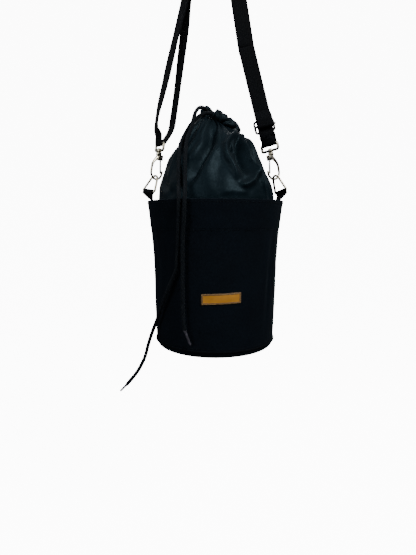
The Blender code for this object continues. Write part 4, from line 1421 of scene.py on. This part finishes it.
def build_tab(label):
    """A short webbing sewn inside the rim, up round the ring's bar and back down."""
    side = SIDES[label]
    sign = side["sign"]
    placed = ring_matrix(label)
    axes = placed.to_3x3()
    bar, up = axes.col[0], axes.col[2]
    across = bar.cross(up) if sign * bar.cross(up).x > 0 else -bar.cross(up)
    middle = placed.translation
    spread = (WEBBING_THICKNESS + LAYER_GAP) / 2
    turned = Matrix.Rotation(sign * side["bar_y"] * TAB_SHARE / BODY_RADIUS, 3, "Z")
    straight = turned @ Vector((0, -1, 0))

    def leg(height, turn):
        reach = body_radius(height) - TAB_INSET + turn * spread
        return turned @ Vector((sign * reach, 0, 0)) + Vector((0, 0, BASE_Z + height)), straight

    low = BODY_HEIGHT - FACING_DEPTH + 0.003
    heights = (low, low + 0.016, BODY_HEIGHT + 0.0004)
    outer_leg = [leg(height, 1) for height in heights]
    inner_leg = [leg(height, -1) for height in reversed(heights)]
    neck = [(middle + across * turn * TAB_NECK - up * 0.0034, bar) for turn in (1, -1)]
    over_bar = round_bar(middle, across, up, bar, 0, 180)
    frames = smooth_frames(outer_leg, 0.003)[:-1]
    frames += smooth_frames([outer_leg[-1], neck[0]], 0.0008)
    frames += over_bar
    frames += smooth_frames([neck[1], inner_leg[0]], 0.0008)
    frames += smooth_frames(inner_leg, 0.003)[1:]
    tab = add_ribbon("webbing_tab_" + label, frames, TAB_WIDTH)
    belongs(tab, "bag", "tab_webbing", "tab_" + label)


# Metal


def ring_outline():
    half = RING_WIDTH / 2
    outline = []
    for i in range(7):
        angle = math.radians(-90 - 20 * i)
        outline.append(Vector((-half + RING_CORNER, 0, RING_CORNER)) + RING_CORNER * vector_xz(angle))
    for i in range(17):
        angle = math.radians(158 - 8.5 * i)
        outline.append(Vector((0, 0, RING_HEIGHT - RING_TOP_RADIUS)) + RING_TOP_RADIUS * vector_xz(angle))
    for i in range(7):
        angle = math.radians(30 - 20 * i)
        outline.append(Vector((half - RING_CORNER, 0, RING_CORNER)) + RING_CORNER * vector_xz(angle))
    return outline


def rounded_rectangle(half_width, half_height, corner, steps=6):
    outline = []
    for quarter, (sx, sz) in enumerate(((1, 1), (-1, 1), (-1, -1), (1, -1))):
        centre = Vector((sx * (half_width - corner), 0, sz * (half_height - corner)))
        for i in range(steps + 1):
            angle = math.pi / 2 * (quarter + i / steps)
            outline.append(centre + corner * vector_xz(angle))
    return outline


def evened(points, step, closed=False):
    """The same path with points added on its long straights."""
    found = []
    pairs = zip(points, points[1:] + points[:1]) if closed else zip(points, points[1:])
    for a, b in pairs:
        count = max(1, round((b - a).length / step))
        found += [a.lerp(b, i / count) for i in range(count)]
    return found if closed else found + [points[-1]]


def build_ring(label):
    placed = ring_matrix(label)
    outline = [placed @ point for point in evened(ring_outline(), 0.0015, True)]
    ring = add_tube("delta_ring_" + label, outline, WIRE, NICKEL, 18, closed=True)
    belongs(ring, "ring_" + label, "ring_nickel", "d_ring_" + label)


def build_eye(label):
    placed = eye_matrix(label)
    outline = rounded_rectangle(EYE_WIDTH / 2, EYE_SPREAD / 2, WIRE + 0.0006)
    loop = [placed @ (point + Vector((0, 0, EYE_SPREAD / 2))) for point in evened(outline, 0.0015, True)]
    frame_wire = add_tube("eye_wire", loop, PLATED_WIRE, NICKEL, 18, closed=True)
    half = WIRE + GAP
    up = placed.to_3x3().col[2]
    boss = add_turned("eye_boss", placed.translation, up, rounded_disc(0.0034, -half, half, 0.0006), NICKEL)
    eye = join("rectangular_eye_" + label, frame_wire, boss)
    belongs(eye, "strap", "nickel", "swivel_eye_" + label)


def hook_path():
    """Centre line and radius of the bent hook wire: flattened and thicker beside its head."""
    head_low = HEAD_TOP - HEAD_LENGTH
    route = [
        (-0.0004, 0.0007, PLATED_WIRE * 1.45),
        (-0.0022, -0.0023, PLATED_WIRE * 1.35),
        (-0.0062, -0.0069, PLATED_WIRE * 1.1),
        (-0.0084, -0.0116, PLATED_WIRE),
    ]
    centre = -HOOK_LENGTH + BOW_RADIUS
    controls = [Vector((x, 0, head_low + z, r)) for x, z, r in route]
    for i in range(9):
        angle = math.pi + math.pi * i / 8
        controls.append(
            Vector((BOW_RADIUS * math.cos(angle), 0, centre + BOW_RADIUS * math.sin(angle), WIRE))
        )
    controls.append(Vector((BOW_RADIUS, 0, centre + 0.0018, WIRE * 0.9)))
    found = smooth(controls, 0.0009)
    return [Vector(v[:3]) for v in found], [v[3] for v in found]


def gate_pivot():
    """The gate pin's middle, in the hook's own space."""
    return Vector((GATE_OFFSET, 0, HEAD_TOP - HEAD_LENGTH - GATE_EYE_RADIUS - 0.0004))


def build_hook(label):
    placed = hook_matrix(label)
    points, radii = hook_path()
    points = [placed @ point for point in points]
    tip = (points[-1] - points[-2]).normalized()
    points += [points[-1] + tip * radii[-1] * a for a in (0.45, 0.75, 0.85)]
    radii += [radii[-1] * b for b in (0.86, 0.5, 0.05)]
    wire = add_grid("hook_wire", tube_rows(points, radii, 18), NICKEL, wrap=True)
    head_low = HEAD_TOP - HEAD_LENGTH
    profile = [
        (0.0017, HEAD_TOP),
        (0.0028, HEAD_TOP),
        (0.0034, HEAD_TOP - 0.0005),
        (0.0036, HEAD_TOP - 0.0012),
        (0.0035, head_low + 0.0016),
        (0.0031, head_low + 0.0004),
        (0.0024, head_low - 0.0001),
        (0.0001, head_low - 0.0002),
    ]
    head = add_turned("hook_head", placed.translation, placed.to_3x3().col[2], profile, NICKEL)
    pivot = gate_pivot()
    pieces = [wire, head]
    for turn in (-1, 1):
        near, far = sorted((turn * CHEEK_INNER, turn * (CHEEK_INNER + CHEEK_THICKNESS)))
        low = (-0.0016, near, pivot.z - 0.0026)
        high = (pivot.x + 0.0027, far, head_low + 0.0018)
        pieces.append(rounded_block("cheek", low, high, placed, NICKEL, 0.0005))
    hook = join("snap_hook_" + label, *pieces)
    belongs(hook, "hook_" + label, "nickel", "hook_body_" + label)


def build_swivel_rivet(label):
    placed = hook_matrix(label)
    rivet_low = WIRE + GAP
    profile = [
        (0.0014, HEAD_TOP - 0.002),
        (0.0014, rivet_low),
        (0.0023, rivet_low + 0.0002),
        (0.0024, rivet_low + 0.0006),
        (0.0018, rivet_low + 0.0011),
        (0.0001, rivet_low + 0.0013),
    ]
    up = placed.to_3x3().col[2]
    rivet = add_turned("swivel_rivet_" + label, placed.translation, up, profile, NICKEL)
    belongs(rivet, "hook_" + label, "nickel", "swivel_pin_" + label)


def build_gate_pin(label):
    placed = hook_matrix(label)
    outside = CHEEK_INNER + CHEEK_THICKNESS + GAP
    end = outside + PIN_HEAD_HEIGHT
    dome = ((0.6, 0.0001), (0.92, 0.0003), (1.0, 0.0006))
    profile = [(0.0001, -end)]
    profile += [(PIN_HEAD_RADIUS * share, -end + depth) for share, depth in dome]
    profile += [(GATE_PIN_RADIUS, -outside), (GATE_PIN_RADIUS, outside)]
    profile += [(PIN_HEAD_RADIUS * share, end - depth) for share, depth in reversed(dome)]
    profile += [(0.0001, end)]
    middle, pin_axis = placed @ gate_pivot(), placed.to_3x3().col[1]
    pin = add_turned("gate_rivet_" + label, middle, pin_axis, profile, DARK_STEEL, 24)
    belongs(pin, "hook_" + label, "pin_steel", "gate_pin_" + label)


def build_gate(label):
    placed = hook_matrix(label)
    pivot = gate_pivot()
    tip_point = Vector((BOW_RADIUS - WIRE - 0.0013, 0, -HOOK_LENGTH + BOW_RADIUS - 0.001))
    run = tip_point - pivot
    lean = math.atan2(run.x, -run.z)
    low_side, high_side = GATE_SIDES
    gate_placing = placed @ Matrix.Translation(pivot) @ Matrix.Rotation(-lean, 4, "Y")
    low, high = (-0.0009, low_side, -run.length), (0.0009, high_side, -0.0013)
    bar = rounded_block("gate_bar", low, high, gate_placing, STEEL, 0.0004)
    profile = [
        (0.0012, low_side),
        (0.0016, low_side),
        (0.0019, low_side + 0.0003),
        (0.0019, high_side - 0.0003),
        (0.0016, high_side),
        (0.0012, high_side),
    ]
    eye = add_turned("gate_eye", placed @ pivot, placed.to_3x3().col[1], profile, STEEL, 24)
    gate = join("hook_gate_" + label, bar, eye)
    belongs(gate, "gate_" + label, "gate_steel", "gate_" + label)


def build_gate_spring(label):
    placed = hook_matrix(label)
    coil = []
    for i in range(49):
        angle = 2 * math.pi * i / 20
        along = GATE_SIDES[1] + 0.0003 + 0.0005 * i / 48
        spot = Vector((COIL_RADIUS * math.cos(angle), along, COIL_RADIUS * math.sin(angle)))
        coil.append(placed @ (gate_pivot() + spot))
    spring = add_tube("gate_coil_" + label, coil, 0.00018, STEEL, 8)
    belongs(spring, "hook_" + label, "spring_steel", "gate_spring_" + label)


def build_slider():
    placed = slider_matrix()
    behind, before = slider_offsets()
    half_width = WEBBING_WIDTH / 2 + WIRE + 0.0009
    outline = rounded_rectangle(half_width, SLIDER_DEPTH / 2, 0.003)
    loop = [placed @ (point + Vector((0, behind, 0))) for point in evened(outline, 0.0015, True)]
    outer = add_tube("slider_frame", loop, WIRE, SLIDER_BLACK, 16, closed=True)
    straight = WEBBING_WIDTH / 2 + 0.0004
    bar = [
        (-half_width, behind, 0),
        (-half_width, before - 0.0018, 0),
        (-straight, before, 0),
        (0, before, 0),
        (straight, before, 0),
        (half_width, before - 0.0018, 0),
        (half_width, behind, 0),
    ]
    middle = add_tube("slider_bar", [placed @ p for p in smooth(bar, 0.001)], WIRE, SLIDER_BLACK, 16)
    slider = join("three_bar_slider", outer, middle)
    belongs(slider, "slider", "slider", "slider")


# Stage and light


def build_stage():
    """A pale round floor that curves up into a wall on every side."""
    profile = [(0.001, STAGE_FLOOR), (STAGE_RADIUS - STAGE_CURVE, STAGE_FLOOR)]
    for i in range(1, 13):
        angle = math.pi / 2 * i / 12
        reach = STAGE_RADIUS - STAGE_CURVE + STAGE_CURVE * math.sin(angle)
        profile.append((reach, STAGE_FLOOR + STAGE_CURVE * (1 - math.cos(angle))))
    profile.append((STAGE_RADIUS, STAGE_TOP))
    floor = add_turned("stage_surround", Vector(), Vector((0, 0, 1)), profile, stage_look(), 64)
    # The stage reads as plain white, and doesn't flood the dark cloth with its own light.
    floor.visible_diffuse = False
    floor.visible_glossy = False
    floor.visible_shadow = False


def add_light(name, location, target, size, energy, colour=(1, 1, 1)):
    data = bpy.data.lights.new(name, "AREA")
    data.shape = "DISK"
    data.size = size
    data.energy = energy
    data.color = colour
    lamp = bpy.data.objects.new(name, data)
    bpy.context.scene.collection.objects.link(lamp)
    lamp.location = location
    lamp.rotation_euler = (Vector(target) - Vector(location)).to_track_quat("-Z", "Y").to_euler()


def build_lights():
    add_light("key_light", (0.75, -0.95, 0.55), (0, 0, -0.35), 0.55, 30, (1.0, 0.99, 0.97))
    add_light("fill_light", (-1.2, -1.1, 0.0), (0, 0, -0.35), 1.0, 14, (0.95, 0.98, 1.0))
    add_light("back_light", (0.1, 1.4, 0.7), (0, 0, -0.35), 0.8, 9)
    world = bpy.data.worlds.new("studio")
    bpy.context.scene.world = world
    world.use_nodes = True
    tree = world.node_tree
    place = tree.nodes.new("ShaderNodeTexCoord")
    split = tree.nodes.new("ShaderNodeSeparateXYZ")
    ramp = tree.nodes.new("ShaderNodeValToRGB")
    tree.links.new(place.outputs["Generated"], split.inputs["Vector"])
    tree.links.new(split.outputs["Z"], ramp.inputs["Fac"])
    tree.links.new(ramp.outputs["Color"], tree.nodes["Background"].inputs["Color"])
    ramp.color_ramp.elements[0].color = (0.03, 0.03, 0.03, 1)
    ramp.color_ramp.elements[1].position = 0.45
    ramp.color_ramp.elements[1].color = (0.9, 0.95, 1, 1)
    tree.nodes["Background"].inputs["Strength"].default_value = ROOM_LIGHT


def paint_kept_nodes():
    """CAD nodes that stay as they are, hidden inside the bag, get their finish here."""
    for name, material in (("base_board", BOARD_GREY),):
        obj = frame["nodes"][name]
        obj.data.materials.clear()
        obj.data.materials.append(material)


add_camera()
add_cords()
build_body()
build_wall_stitches()
build_skirt()
build_casing()
build_patch()
build_strap()
build_slider()
for side_name in SIDES:
    build_tab(side_name)
    build_ring(side_name)
    build_eye(side_name)
    build_hook(side_name)
    build_swivel_rivet(side_name)
    build_gate_pin(side_name)
    build_gate(side_name)
    build_gate_spring(side_name)
paint_kept_nodes()
build_stage()
build_lights()
